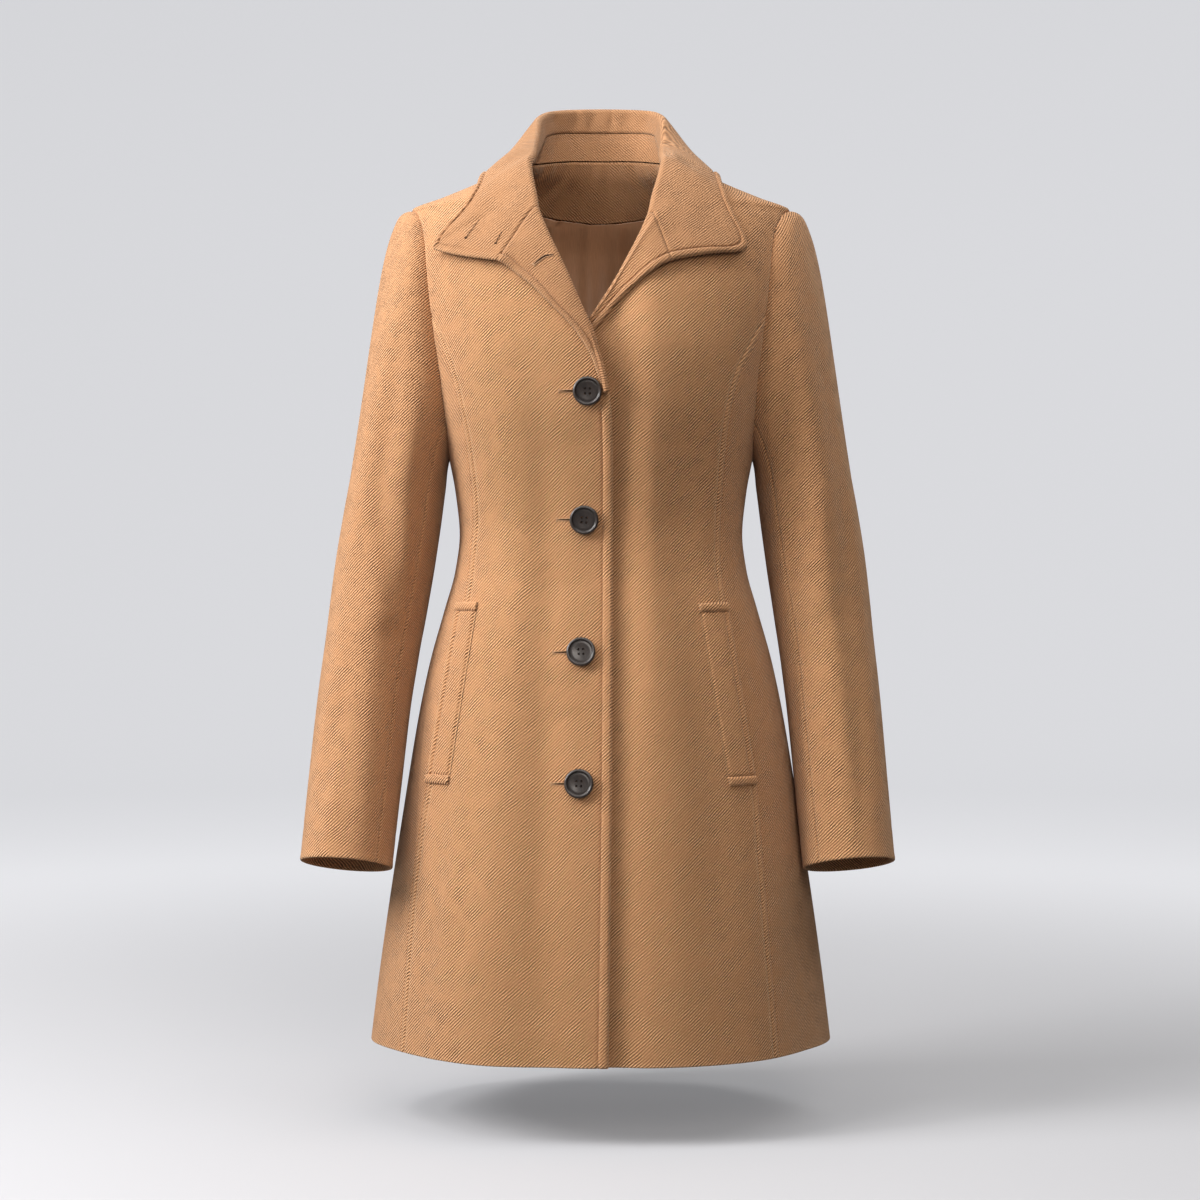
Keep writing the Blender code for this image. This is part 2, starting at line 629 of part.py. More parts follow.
# ---------------------------------------------------------------- sleeves
SLEEVE_FALLS = [-height * MM for height in column(SLEEVE_SECTIONS, SLEEVE_COLUMNS, "height")]
SLEEVE_OUT = [size * MM for size in column(SLEEVE_SECTIONS, SLEEVE_COLUMNS, "out")]
SLEEVE_FORWARD = [size * MM for size in column(SLEEVE_SECTIONS, SLEEVE_COLUMNS, "forward")]
SLEEVE_HALF_WIDTHS = [size * MM for size in column(SLEEVE_SECTIONS, SLEEVE_COLUMNS, "half_width")]
SLEEVE_HALF_DEPTHS = [size * MM for size in column(SLEEVE_SECTIONS, SLEEVE_COLUMNS, "half_depth")]
SLEEVE_TOP, CUFF_HEIGHT = -SLEEVE_FALLS[0], -SLEEVE_FALLS[-1]


def sleeve_axis(z, side_name):
    """The middle of the sleeve at a height."""
    shift = SLEEVE_SIDE_SHIFT[side_name] * ramp(z, SLEEVE_TOP, CUFF_HEIGHT)
    x = SIDES[side_name] * (smooth(-z, SLEEVE_FALLS, SLEEVE_OUT) + shift)
    return Vector((x, smooth(-z, SLEEVE_FALLS, SLEEVE_FORWARD), z))


def sleeve_frame(z, side_name):
    """The sleeve's middle, its outward and forward directions and its size at a height."""
    step = 4 * MM
    upper = sleeve_axis(min(z + step, SLEEVE_TOP), side_name)
    lower = sleeve_axis(max(z - step, CUFF_HEIGHT), side_name)
    upward = (upper - lower).normalized()
    forward = Vector((0, -1, 0))
    forward = (forward - upward * forward.dot(upward)).normalized()
    outward = forward.cross(upward) * SIDES[side_name] * -1.0
    sizes = (
        smooth(-z, SLEEVE_FALLS, SLEEVE_HALF_WIDTHS),
        smooth(-z, SLEEVE_FALLS, SLEEVE_HALF_DEPTHS),
    )
    return sleeve_axis(z, side_name), outward, forward, upward, sizes


def sleeve_point(turn, z, side_name):
    """The sleeve's outer surface. turn is 0 at the outer line, 90 degrees at the front."""
    middle, outward, forward, _, (half_width, half_depth) = sleeve_frame(z, side_name)
    fold = 0.0
    for height, angle, length, width, depth in SLEEVE_FOLDS:
        along = (z - height * MM) / (length * MM)
        round_it = ((math.degrees(turn) - angle + 180.0) % 360.0 - 180.0) / width
        fold += depth * MM * math.exp(-along * along - round_it * round_it)
    across, along_front = math.cos(turn), math.sin(turn)
    return (middle + outward * (half_width + fold) * across
            + forward * (half_depth + fold) * along_front)


def armhole_point(step, side_name):
    """A point on the armhole seam, 0 at the tip, 90 at the front and 180 at the underarm."""
    face = -1 if step <= 180 else 1
    z = armhole_height(step if step <= 180 else 360 - step)
    angle = armhole_angle(z, side_name, face)
    return body_point(angle, z), body_normal(angle, z)


def sleeve_head_curve(start, end, turn, side, upward):
    """The two inner control points of the curve from the armhole into the sleeve's tube."""
    towards_tip = (1 + math.cos(turn)) / 2
    leave = Vector((
        side * (0.30 + 0.70 * towards_tip),
        -0.40 * math.sin(turn),
        -0.95 + 0.90 * towards_tip,
    )).normalized()
    fall = (end - start).length
    first = start + leave * min(SLEEVE_HEAD_FULLNESS, 0.35 * fall)
    second = end + upward * fall * (0.40 + 0.20 * towards_tip)
    return first, second


def sleeve_grid(side_name):
    """The whole sleeve's outer surface: rings from the armhole down to the cuff."""
    side = SIDES[side_name]
    turns = list(ARMHOLE_STEPS) + [360 - step for step in ARMHOLE_STEPS[-2:0:-1]]
    middle = Vector((side * 190 * MM, 0, ARMHOLE_MIDDLE))
    rings = [[] for _ in range(SLEEVE_HEAD_ROWS + SLEEVE_ROWS)]
    _, _, _, upward, _ = sleeve_frame(SLEEVE_TOP, side_name)
    for step in turns:
        turn = math.radians(step)
        seam, normal = armhole_point(step, side_name)
        inward = middle - seam
        inward = (inward - normal * inward.dot(normal)).normalized()
        start = seam + inward * SLEEVE_SEAM_INSET + normal * SLEEVE_SEAM_RISE
        end = sleeve_point(turn, SLEEVE_TOP, side_name)
        first, second = sleeve_head_curve(start, end, turn, side, upward)
        for i in range(SLEEVE_HEAD_ROWS):
            t = i / SLEEVE_HEAD_ROWS
            s = 1 - t
            rings[i].append(start * s**3 + first * 3 * s * s * t + second * 3 * s * t * t + end * t**3)
        for i in range(SLEEVE_ROWS):
            z = SLEEVE_TOP + (CUFF_HEIGHT - SLEEVE_TOP) * i / (SLEEVE_ROWS - 1)
            rings[SLEEVE_HEAD_ROWS + i].append(sleeve_point(turn, z, side_name))
    return turns, rings


def build_sleeve(side_name, wool, satin):
    """Top sleeve and under sleeve, and the end of the lining inside the cuff."""
    turns, rings = sleeve_grid(side_name)
    normals = grid_normals(rings, closed=True)
    if normals[-1][0].dot(Vector((SIDES[side_name], 0, 0))) < 0:
        normals = [[-normal for normal in line] for line in normals]
    count = len(turns)
    front, back = turns.index(FRONT_SLEEVE_SEAM), turns.index(BACK_SLEEVE_SEAM)
    pieces = {
        "top_sleeve_" + side_name: [k % count for k in range(back, front + count + 1)],
        "under_sleeve_" + side_name: list(range(front, back + 1)),
    }
    for name, order in pieces.items():
        if side_name == "right":
            order = order[::-1]
        outer, inner = [], []
        for ring, normal in zip(rings, normals):
            line = [ring[k].copy() for k in order]
            line[0] += (ring[order[1]] - ring[order[0]]).normalized() * SEAM_GAP / 2
            line[-1] += (ring[order[-2]] - ring[order[-1]]).normalized() * SEAM_GAP / 2
            outer.append(line)
            inner.append([point - normal[k] * WOOL for point, k in zip(line, order)])
        wall_object(name, outer, inner, wool)

    rows = 2
    outer, inner = [], []
    order = range(count) if side_name == "right" else range(count - 1, -1, -1)
    for i in range(rows + 1):
        z = CUFF_HEIGHT + CUFF_LINING_INSET + CUFF_LINING_LENGTH * i / rows
        middle, *_ = sleeve_frame(z, side_name)
        out_line, in_line = [], []
        for k in order:
            point = sleeve_point(math.radians(turns[k]), z, side_name)
            towards = (middle - point).normalized()
            out_line.append(point + towards * (WOOL + CUFF_LINING_GAP))
            in_line.append(point + towards * (WOOL + CUFF_LINING_GAP + LINING))
        outer.append(out_line)
        inner.append(in_line)
    wall_object("cuff_lining_" + side_name, outer, inner, satin, closed=True)


# ---------------------------------------------------------------- collar, stand and lapels
def lie_on_front(x, z, lift, under_lap):
    """A point on the front of the form at x and height z, lifted off it."""
    angle = front_angle(x, z)
    point = body_point(angle, z)
    set_in = lap_depth(x, z) if under_lap else 0.0
    return point + body_normal(angle, z) * (lift - set_in)


def keep_off_body(point, lift, under_lap):
    """Moves a point out until it stands at least lift above the cloth."""
    for _ in range(4):
        above, outward = height_above_body(point)
        needed = lift - (lap_depth(point.x, point.z) if under_lap else 0.0)
        if above >= needed:
            break
        point = point + outward * (needed - above)
    return point


def turn_sections():
    """The tabled rows in order round the neck, with the places of the two gorge seams."""
    rows = RIGHT_LAPEL + RIGHT_GORGE + RIGHT_COLLAR + CENTRE_BACK
    rows += LEFT_COLLAR + LEFT_GORGE + LEFT_LAPEL
    right_gorge = len(RIGHT_LAPEL)
    left_gorge = len(rows) - len(LEFT_LAPEL) - 1
    return rows, right_gorge, left_gorge


def turn_frames(spacing):
    """Crest, edge, stand length and directions for every section round the neck."""
    rows, right_gorge, left_gorge = turn_sections()
    under = {False: range(0, len(rows) // 2), True: range(len(rows) // 2, len(rows))}
    crests, edges, stands = [], [], []
    lift = LEAF_GAP + LAPEL_WALL
    for index, row in enumerate(rows):
        left = index in under[True]
        named = dict(zip(TURN_COLUMNS, row))
        x, z = named["roll_x"] * MM, named["roll_z"] * MM
        if named["roll_y"] is None:
            crests.append(lie_on_front(x, z, -WOOL / 2, left))
        else:
            crests.append(Vector((x, named["roll_y"] * MM, z)))
        x, z = named["edge_x"] * MM, named["edge_z"] * MM
        if named["edge_y"] is None:
            edges.append(lie_on_front(x, z, lift, left))
        else:
            edges.append(keep_off_body(Vector((x, named["edge_y"] * MM, z)), lift, False))
        stands.append(named["stand"] * MM)
    places = [0.0]
    for k in range(1, len(rows)):
        gap = (crests[k] - crests[k - 1]).length + 0.25 * (edges[k] - edges[k - 1]).length
        places.append(places[-1] + gap)

    def read(points, place):
        return Vector([smooth(place, places, [point[axis] for point in points]) for axis in range(3)])

    samples, starts = [], []
    for k in range(len(rows) - 1):
        reach = max((crests[k + 1] - crests[k]).length, (edges[k + 1] - edges[k]).length)
        steps = max(1, round(reach / spacing))
        starts.append(len(samples))
        for step in range(steps):
            samples.append(places[k] + (places[k + 1] - places[k]) * step / steps)
    samples.append(places[-1])
    frames = []
    for place in samples:
        reach = 4 * MM
        crest = read(crests, place)
        along = read(crests, min(place + reach, places[-1])) - read(crests, max(place - reach, 0.0))
        along.normalize()
        outward = Vector((crest.x / NECK_HALF_WIDTH, crest.y / NECK_HALF_DEPTH, 0.0)).normalized()
        if crest.z < ROLL_RISES_TO:
            _, from_body = height_above_body(crest)
            share = ramp(crest.z, ROLL_RISES_TO, ROLL_RISES_FROM)
            outward = outward.lerp(from_body, share).normalized()
        outward = (outward - along * outward.dot(along)).normalized()
        frames.append({
            "crest": crest,
            "edge": read(edges, place),
            "stand": smooth(place, places, stands),
            "along": along,
            "out": outward,
            "up": along.cross(outward),
            "left": place > places[len(rows) // 2],
        })
    return frames, starts[right_gorge], starts[left_gorge]


def turn_profile(frame, arc_steps, leaf_steps):
    """One section of the turned cloth, seen side: up the stand, over the fold, down the leaf."""
    outward, upward, left = frame["out"], frame["up"], frame["left"]
    leaf_length = (frame["edge"] - frame["crest"]).length
    radius = FOLD_RADIUS
    centre = frame["crest"] - upward * radius
    reach = frame["edge"] - centre
    slant = math.atan2(reach.dot(upward), reach.dot(outward))
    last = max(math.pi / 2 + slant, math.radians(2))
    inside = centre - outward * radius
    foot = inside - upward * max(frame["stand"] - radius, 4 * MM)
    if foot.z < NECK_POINT_HEIGHT - 8 * MM:
        above, direction = height_above_body(foot)
        lap = lap_depth(foot.x, foot.z) if left else 0.0
        wanted = -(WOOL + LEAF_GAP + LAPEL_WALL + 0.3 * MM) - lap
        if above > wanted:
            foot = foot + direction * (wanted - above)
    points = [foot, (foot + inside) / 2]
    for k in range(arc_steps + 1):
        angle = math.pi + (last - math.pi) * k / arc_steps
        points.append(centre + (outward * math.cos(angle) + upward * math.sin(angle)) * radius)
    start, end = points[-1], frame["edge"]
    face = (end - start).normalized()
    bulge = frame["along"].cross(face).normalized() * -LEAF_BULGE
    if bulge.dot(outward) + bulge.dot(upward) < 0:
        bulge = -bulge
    bulge = bulge * ramp(leaf_length, 10 * MM, 60 * MM)
    for k in range(1, leaf_steps + 1):
        t = k / leaf_steps
        point = start.lerp(end, t) + bulge * 4 * t * (1 - t)
        if point.z < NECK_POINT_HEIGHT + 10 * MM:
            point = keep_off_body(point, LEAF_GAP + LAPEL_WALL, left)
        points.append(point)
    return points


def build_collar(wool):
    """Lapels, collar and collar stand."""
    frames, right_gorge, left_gorge = turn_frames(TURN_SPACING)
    grid = [turn_profile(frame, 4, 4) for frame in frames]
    # Rows here run from the stand to the edge and columns round the neck.
    by_row = [list(line) for line in zip(*grid)]
    normals = grid_normals(by_row)
    pieces = {
        "front_facing_right": (0, right_gorge),
        "collar": (right_gorge, left_gorge),
        "front_facing_left": (left_gorge, len(frames) - 1),
    }
    for name, (first, last) in pieces.items():
        outer, inner = [], []
        for line, normal in zip(by_row, normals):
            part = [point.copy() for point in line[first:last + 1]]
            directions = normal[first:last + 1]
            part[0] += (part[1] - part[0]).normalized() * SEAM_GAP / 2
            part[-1] += (part[-2] - part[-1]).normalized() * SEAM_GAP / 2
            outer.append(part)
            inner.append([p - n * LAPEL_WALL for p, n in zip(part, directions)])
        wall_object(name, outer, inner, wool)

    build_stand(wool, frames, by_row[0], normals[0])


STAND_ENDS_HEIGHT = 60 * MM
STAND_RISE, STAND_DROP = 0.8 * MM, 0.6 * MM    # clear of the neck seam and of the collar


def build_stand(wool, frames, collar_foot, collar_normals):
    """The standing band between the neck seam and the collar."""
    rows = 2
    outer = [[] for _ in range(rows + 1)]
    inner = [[] for _ in range(rows + 1)]
    for frame, top, top_normal in zip(frames, collar_foot, collar_normals):
        crest = frame["crest"]
        if crest.z < STAND_ENDS_HEIGHT:
            continue
        bearing = math.atan2(crest.x, -crest.y)
        z = back_neck_top(bearing) if math.cos(bearing) < 0 else NECK_POINT_HEIGHT
        foot_normal = -body_normal(bearing, z).xy.to_3d().normalized()
        foot = body_point(bearing, z) + foot_normal * LAPEL_WALL + Vector((0, 0, STAND_RISE))
        top = top - frame["up"] * STAND_DROP
        for i in range(rows + 1):
            t = i / rows
            point = foot.lerp(top, t)
            normal = foot_normal.lerp(top_normal, t).normalized()
            outer[i].append(point)
            inner[i].append(point - normal * LAPEL_WALL)
    wall_object("collar_stand", outer, inner, wool)


# ---------------------------------------------------------------- pocket welts and buttons
def build_welt(side_name, wool):
    """A flat stitched strip lying on the front along the princess seam."""
    (top, top_in, top_out), (foot, foot_in, foot_out) = POCKET_WELTS[side_name]
    rows, columns = 8, 3
    outer, inner = [], []
    for i in range(rows + 1):
        t = i / rows
        z = (foot + (top - foot) * t) * MM
        ends = (foot_in + (top_in - foot_in) * t, foot_out + (top_out - foot_out) * t)
        first, last = sorted(front_angle(place * MM, z) for place in ends)
        out_line, in_line = [], []
        for j in range(columns + 1):
            angle = first + (last - first) * j / columns
            point, normal = body_point(angle, z), body_normal(angle, z)
            out_line.append(point + normal * (LYING_GAP + WELT_THICKNESS))
            in_line.append(point + normal * LYING_GAP)
        outer.append(out_line)
        inner.append(in_line)
    wall_object("pocket_welt_" + side_name, outer, inner, wool)


def button_mesh(horn):
    """A turned button with a raised rim, a dished face and four sewing holes."""
    radius, thick = BUTTON_DIAMETER / 2, BUTTON_THICKNESS
    profile = (
        (0.0, 0.0), (radius - 2.0 * MM, 0.0), (radius, 1.6 * MM), (radius, thick - 1.4 * MM),
        (radius - 1.5 * MM, thick), (radius - 3.6 * MM, thick - 0.5 * MM),
        (radius - 5.2 * MM, thick - 1.6 * MM), (0.0, thick - 1.9 * MM),
    )
    shape = bmesh.new()
    line = [shape.verts.new((x, 0.0, z)) for x, z in profile]
    edges = [shape.edges.new(pair) for pair in zip(line, line[1:])]
    bmesh.ops.spin(shape, geom=line + edges, cent=(0, 0, 0), axis=(0, 0, 1), dvec=(0, 0, 0),
                   angle=2 * math.pi, steps=16, use_merge=True)
    bmesh.ops.remove_doubles(shape, verts=shape.verts, dist=0.01 * MM)
    bmesh.ops.recalc_face_normals(shape, faces=shape.faces)
    blank = bpy.data.meshes.new("button_blank")
    shape.to_mesh(blank)
    shape.free()
    body = bpy.data.objects.new("button_blank", blank)
    bpy.context.scene.collection.objects.link(body)

    drill = bmesh.new()
    for x in (-0.5, 0.5):
        for y in (-0.5, 0.5):
            made = bmesh.ops.create_cone(drill, cap_ends=True, segments=6,
                                         radius1=BUTTON_HOLE_DIAMETER / 2,
                                         radius2=BUTTON_HOLE_DIAMETER / 2, depth=4 * thick)
            bmesh.ops.translate(drill, verts=made["verts"],
                                vec=(x * BUTTON_HOLE_PITCH, y * BUTTON_HOLE_PITCH, 0))
    tool_mesh = bpy.data.meshes.new("button_drill")
    drill.to_mesh(tool_mesh)
    drill.free()
    tool = bpy.data.objects.new("button_drill", tool_mesh)
    bpy.context.scene.collection.objects.link(tool)
    cut = body.modifiers.new("holes", "BOOLEAN")
    cut.operation = "DIFFERENCE"
    cut.object = tool
    bpy.context.view_layer.update()
    depsgraph = bpy.context.evaluated_depsgraph_get()
    mesh = bpy.data.meshes.new_from_object(body.evaluated_get(depsgraph))
    bpy.data.objects.remove(body)
    bpy.data.objects.remove(tool)
    mesh.name = "button"
    mesh.materials.clear()
    mesh.materials.append(horn)
    mesh.shade_smooth()
    mesh.set_sharp_from_angle(angle=math.radians(35))
    return mesh


def build_buttons(horn):
    """Four buttons on the right front's lap."""
    mesh = button_mesh(horn)
    for number, (x, z) in enumerate(BUTTON_PLACES, start=1):
        x, z = x * MM, z * MM
        angle = front_angle(x, z)
        seat, normal = body_point(angle, z), body_normal(angle, z)
        lift = 0.0
        for step in range(12):
            turn = math.tau * step / 12
            rim_x, rim_z = (x + BUTTON_DIAMETER / 2 * math.cos(turn),
                            z + BUTTON_DIAMETER / 2 * math.sin(turn))
            rim = body_point(front_angle(rim_x, rim_z), rim_z)
            lift = max(lift, (rim - seat).dot(normal))
        button = bpy.data.objects.new("button_%d" % number, mesh)
        button.location = seat + normal * (BUTTON_GAP + lift)
        button.rotation_euler = normal.to_track_quat("Z", "Y").to_euler()
        bpy.context.scene.collection.objects.link(button)


# ---------------------------------------------------------------- the coat
for old in list(bpy.data.objects):
    bpy.data.objects.remove(old)

wool_cloth = new_material("camel wool twill", WOOL_COLOUR, 0.85)
satin_lining = new_material("satin lining", LINING_COLOUR, 0.45)
button_horn = new_material("button horn", BUTTON_COLOUR, 0.30)

build_back_inside(wool_cloth, satin_lining)
for each_side in SIDES:
    build_side(each_side, wool_cloth)
    build_sleeve(each_side, wool_cloth, satin_lining)
    build_welt(each_side, wool_cloth)
build_collar(wool_cloth)
build_buttons(button_horn)
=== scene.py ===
import math

import bmesh
import bpy
import numpy as np
from mathutils import Matrix, Vector


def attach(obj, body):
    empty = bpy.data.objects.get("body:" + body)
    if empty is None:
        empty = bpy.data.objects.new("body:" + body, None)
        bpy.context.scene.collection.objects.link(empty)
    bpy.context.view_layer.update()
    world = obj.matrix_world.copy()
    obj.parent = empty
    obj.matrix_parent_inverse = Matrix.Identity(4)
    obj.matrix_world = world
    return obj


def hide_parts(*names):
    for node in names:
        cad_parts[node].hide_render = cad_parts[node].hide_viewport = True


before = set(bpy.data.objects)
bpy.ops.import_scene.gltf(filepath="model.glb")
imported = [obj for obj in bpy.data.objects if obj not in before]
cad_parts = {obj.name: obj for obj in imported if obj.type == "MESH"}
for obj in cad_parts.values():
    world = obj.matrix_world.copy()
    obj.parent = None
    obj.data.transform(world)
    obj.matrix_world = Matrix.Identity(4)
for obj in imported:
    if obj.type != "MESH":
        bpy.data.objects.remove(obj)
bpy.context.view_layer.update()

MM = 0.001

# ---------------------------------------------------------------- backs
# The two halves of the back, cut from camel wool twill of about 2.6 mm with its backing, shaped
# by the centre seam and the side seams. The form of the whole coat begins here: level rings
# through a table of sections, on which every panel lies.
def curve_through(xs, ys):
    """A smooth curve through points that never overshoots between them, for whole arrays."""
    xs, ys = np.array(xs, float), np.array(ys, float)
    steps = np.diff(xs)
    rates = np.diff(ys) / steps
    same_way = rates[:-1] * rates[1:] > 0
    before, after = (np.where(same_way, rate, 1.0) for rate in (rates[:-1], rates[1:]))
    first, second = 2 * steps[1:] + steps[:-1], steps[1:] + 2 * steps[:-1]
    mean = (first + second) / (first / before + second / after)
    slopes = np.concatenate((rates[:1], np.where(same_way, mean, 0.0), rates[-1:]))

    def at(x):
        x = np.clip(x, xs[0], xs[-1])
        k = np.clip(np.searchsorted(xs, x, side="right") - 1, 0, len(steps) - 1)
        t = (x - xs[k]) / steps[k]
        rise = ys[k] * (1 + 2 * t) * (1 - t) ** 2 + ys[k + 1] * t * t * (3 - 2 * t)
        return rise + steps[k] * (slopes[k] * t * (1 - t) ** 2 + slopes[k + 1] * t * t * (t - 1))

    return at


def gentle(x, start, end):
    """Goes softly from 0 at start to 1 at end."""
    t = np.clip((x - start) / (end - start), 0.0, 1.0)
    return t * t * (3 - 2 * t)


def swell(distance, width):
    """A soft bell, 1 in its middle."""
    return np.exp(-((distance / width) ** 2))


def unit(vectors):
    """Vectors of length one."""
    return vectors / np.maximum(np.linalg.norm(vectors, axis=-1, keepdims=True), 1e-12)


def degrees_from(angle, centre):
    """Degrees from a centre, the shorter way round."""
    return (angle - centre + 180.0) % 360.0 - 180.0


# Height, half width, front depth, back depth in mm, and the power of the oval.
SECTIONS = np.array((
    (-866, 232, 170, 162, 2.10), (-760, 219.5, 160, 152, 2.10), (-650, 205, 147, 141, 2.10),
    (-540, 188, 131, 128, 2.15), (-480, 175.5, 121, 119, 2.20), (-427, 160.7, 112, 107, 2.25),
    (-386, 149.5, 106, 98, 2.25), (-350, 145.2, 104, 94, 2.30), (-310, 149, 108, 97, 2.30),
    (-272, 156, 116, 103, 2.30), (-220, 168, 126, 109, 2.30), (-170, 178, 129, 112, 2.30),
    (-125, 186, 124, 114, 2.30), (-85, 192, 115, 113, 2.22), (-50, 195, 104, 109, 2.06),
    (-30, 196, 95, 103.5, 1.90), (-17.5, 196, 88, 99, 1.76), (-5, 166, 81, 94.5, 1.78),
    (7, 136, 75, 90, 1.84), (20, 107, 69, 85, 1.93), (34, 80, 62, 80, 2.00), (50, 72, 55, 77, 2.00),
))
form_half_width, form_front, form_back = (
    curve_through(SECTIONS[:, 0] * MM, SECTIONS[:, k] * MM) for k in (1, 2, 3))
form_power = curve_through(SECTIONS[:, 0] * MM, SECTIONS[:, 4])

WOOL_THICKNESS = 2.6 * MM
HEM_HEIGHT, UNDERARM_HEIGHT = -866 * MM, -272 * MM
SHOULDER_TIP_HEIGHT, NECK_POINT_HEIGHT, BACK_NECK_HEIGHT = -17.5 * MM, 34 * MM, 48 * MM

# The large soft waves of the flared skirt: angle, width (degrees), depth, fading height (mm).
SKIRT_WAVES = (
    (-30, 11, 4.5, -500), (-60, 13, -4, -470), (-84, 12, 4, -560), (33, 12, 4, -520),
    (61, 12, -4.5, -480), (86, 12, 3.5, -540), (118, 13, -5, -480), (146, 12, 5.5, -500),
    (-116, 13, -4.5, -500), (-149, 13, 5, -470),
)
# Smaller creases: angle (degrees), height (mm), width (degrees), length (mm),
# lean (degrees for each 100 mm down) and depth (mm), uneven in all of them.
BODY_CREASES = (
    (-16.2, -600, 6.5, 330, 1.6, -5.0), (-30, -590, 7, 300, 1.4, 2.0), (17, -600, 8, 380, 0, 2.8),
    (34, -600, 9, 360, 0, -4.4), (-21, -290, 7, 70, 1, -1.8), (-16, -700, 4.2, 150, 1, -1.5),
    (-42, -640, 5, 130, -2.2, 1.3), (-50, -770, 4.5, 110, -1.4, -1.5), (14, -735, 4, 120, -0.8, -1.3),
    (25, -590, 4.6, 95, 1.6, 1.1), (46, -700, 5.5, 140, 1.8, -1.6), (-24, -352, 7, 26, -9, -1.1),
    (-46, -330, 7.5, 24, 8, -1.2), (27, -345, 7, 28, 8.5, -1.1), (49, -365, 8, 22, -9, -1.1),
    (-66, -372, 6, 30, -7, 1.2), (68, -340, 6.5, 30, 7.5, 1.2), (150, -330, 9, 24, 9, -1.6),
    (168, -368, 7, 20, -8, -1.2), (-155, -345, 9, 26, -9, -1.7), (-128, -372, 8, 22, 9, -1.3),
    (124, -350, 8, 28, -9, -1.4), (132, -690, 5, 150, 1.5, 1.6), (163, -720, 5, 130, -1, -1.7),
    (-138, -650, 5.5, 150, -1.2, 1.6), (-170, -600, 4, 140, 0.4, 1.2), (106, -620, 5, 110, 1, -1.3),
    (-104, -740, 5.5, 120, -1.3, -1.4), (118, -190, 5, 60, -5, -1.5), (-120, -170, 5.5, 62, 5, -1.6),
    (-58, -215, 6, 50, 6, -1.0), (57, -200, 5.5, 55, -6, -1.1),
)


def form(angle, z):
    """The outer form of the coat. Angle 0 is the centre front, 90 degrees the wearer's left."""
    angle, z = np.broadcast_arrays(np.asarray(angle, float), np.asarray(z, float))
    sine, cosine, power = np.sin(angle), np.cos(angle), form_power(z)
    depth = np.where(cosine >= 0, form_front(z), form_back(z))
    reach = (np.abs(sine) ** power + np.abs(cosine) ** power) ** (-1.0 / power)
    wave = np.zeros(angle.shape)
    for centre, width, size, top in SKIRT_WAVES:
        turn = degrees_from(np.degrees(angle), centre)
        wave += size * MM * gentle(z, top * MM, HEM_HEIGHT) * swell(turn, width)
    return np.stack(((form_half_width(z) * reach + wave) * sine,
                     -(depth * reach + wave) * cosine, z), -1)


def form_normal(angle, z):
    """The outward direction of the form."""
    across = form(angle + 0.004, z) - form(angle - 0.004, z)
    return unit(np.cross(across, form(angle, z + MM) - form(angle, z - MM)))


def creases(angle, z):
    """How far the small creases lift or sink the cloth."""
    total = np.zeros(np.broadcast(angle, z).shape)
    for centre, height, width, length, lean, depth in BODY_CREASES:
        fall = np.asarray(z) / MM - height
        turn = degrees_from(np.degrees(angle) + lean * fall / 100, centre)
        total = total + depth * MM * swell(turn, width) * swell(fall, length)
    return total


def front_angle(x, z):
    """The angle at which the front of the form lies at x."""
    across = np.clip(x / form_half_width(z), -0.99999, 0.99999)
    power = form_power(z)
    return np.arctan2(across, (1 - np.abs(across) ** power) ** (1 / power))


SIDES = {"right": -1.0, "left": 1.0}
ARMHOLE_MIDDLE = (SHOULDER_TIP_HEIGHT + UNDERARM_HEIGHT) / 2
ARMHOLE_HALF_HEIGHT = (SHOULDER_TIP_HEIGHT - UNDERARM_HEIGHT) / 2
ARMHOLE_SQUARENESS = 2.3
ARMHOLE_FRONT_WIDTH, ARMHOLE_BACK_WIDTH = {"right": 56 * MM, "left": 64 * MM}, 58 * MM


def armhole_height(step):
    """The height on the armhole at a step in degrees, 0 at the tip, 180 at the underarm."""
    cosine = np.cos(np.radians(step))
    share = np.abs(cosine) ** (2 / ARMHOLE_SQUARENESS)
    return ARMHOLE_MIDDLE + np.copysign(share, cosine) * ARMHOLE_HALF_HEIGHT


def armhole_angle(z, side_name, face):
    """The angle of the armhole seam at a height, on the front (-1) or the back (+1)."""
    along = np.minimum(np.abs((z - ARMHOLE_MIDDLE) / ARMHOLE_HALF_HEIGHT), 1.0)
    width = ARMHOLE_FRONT_WIDTH[side_name] if face < 0 else ARMHOLE_BACK_WIDTH
    y = face * width * (1 - along ** ARMHOLE_SQUARENESS) ** (1 / ARMHOLE_SQUARENESS)
    power, depth = form_power(z), np.where(y <= 0, form_front(z), form_back(z))
    deep = np.minimum(np.abs(y) / depth, 0.99999)
    across = (1 - deep ** power) ** (1 / power)
    return SIDES[side_name] * np.arctan2(across, np.where(y <= 0, deep, -deep))


def back_neck_top(angle):
    """The height of the neck seam round the back."""
    return NECK_POINT_HEIGHT + (BACK_NECK_HEIGHT - NECK_POINT_HEIGHT) * (1 - np.abs(np.sin(angle)) ** 3)


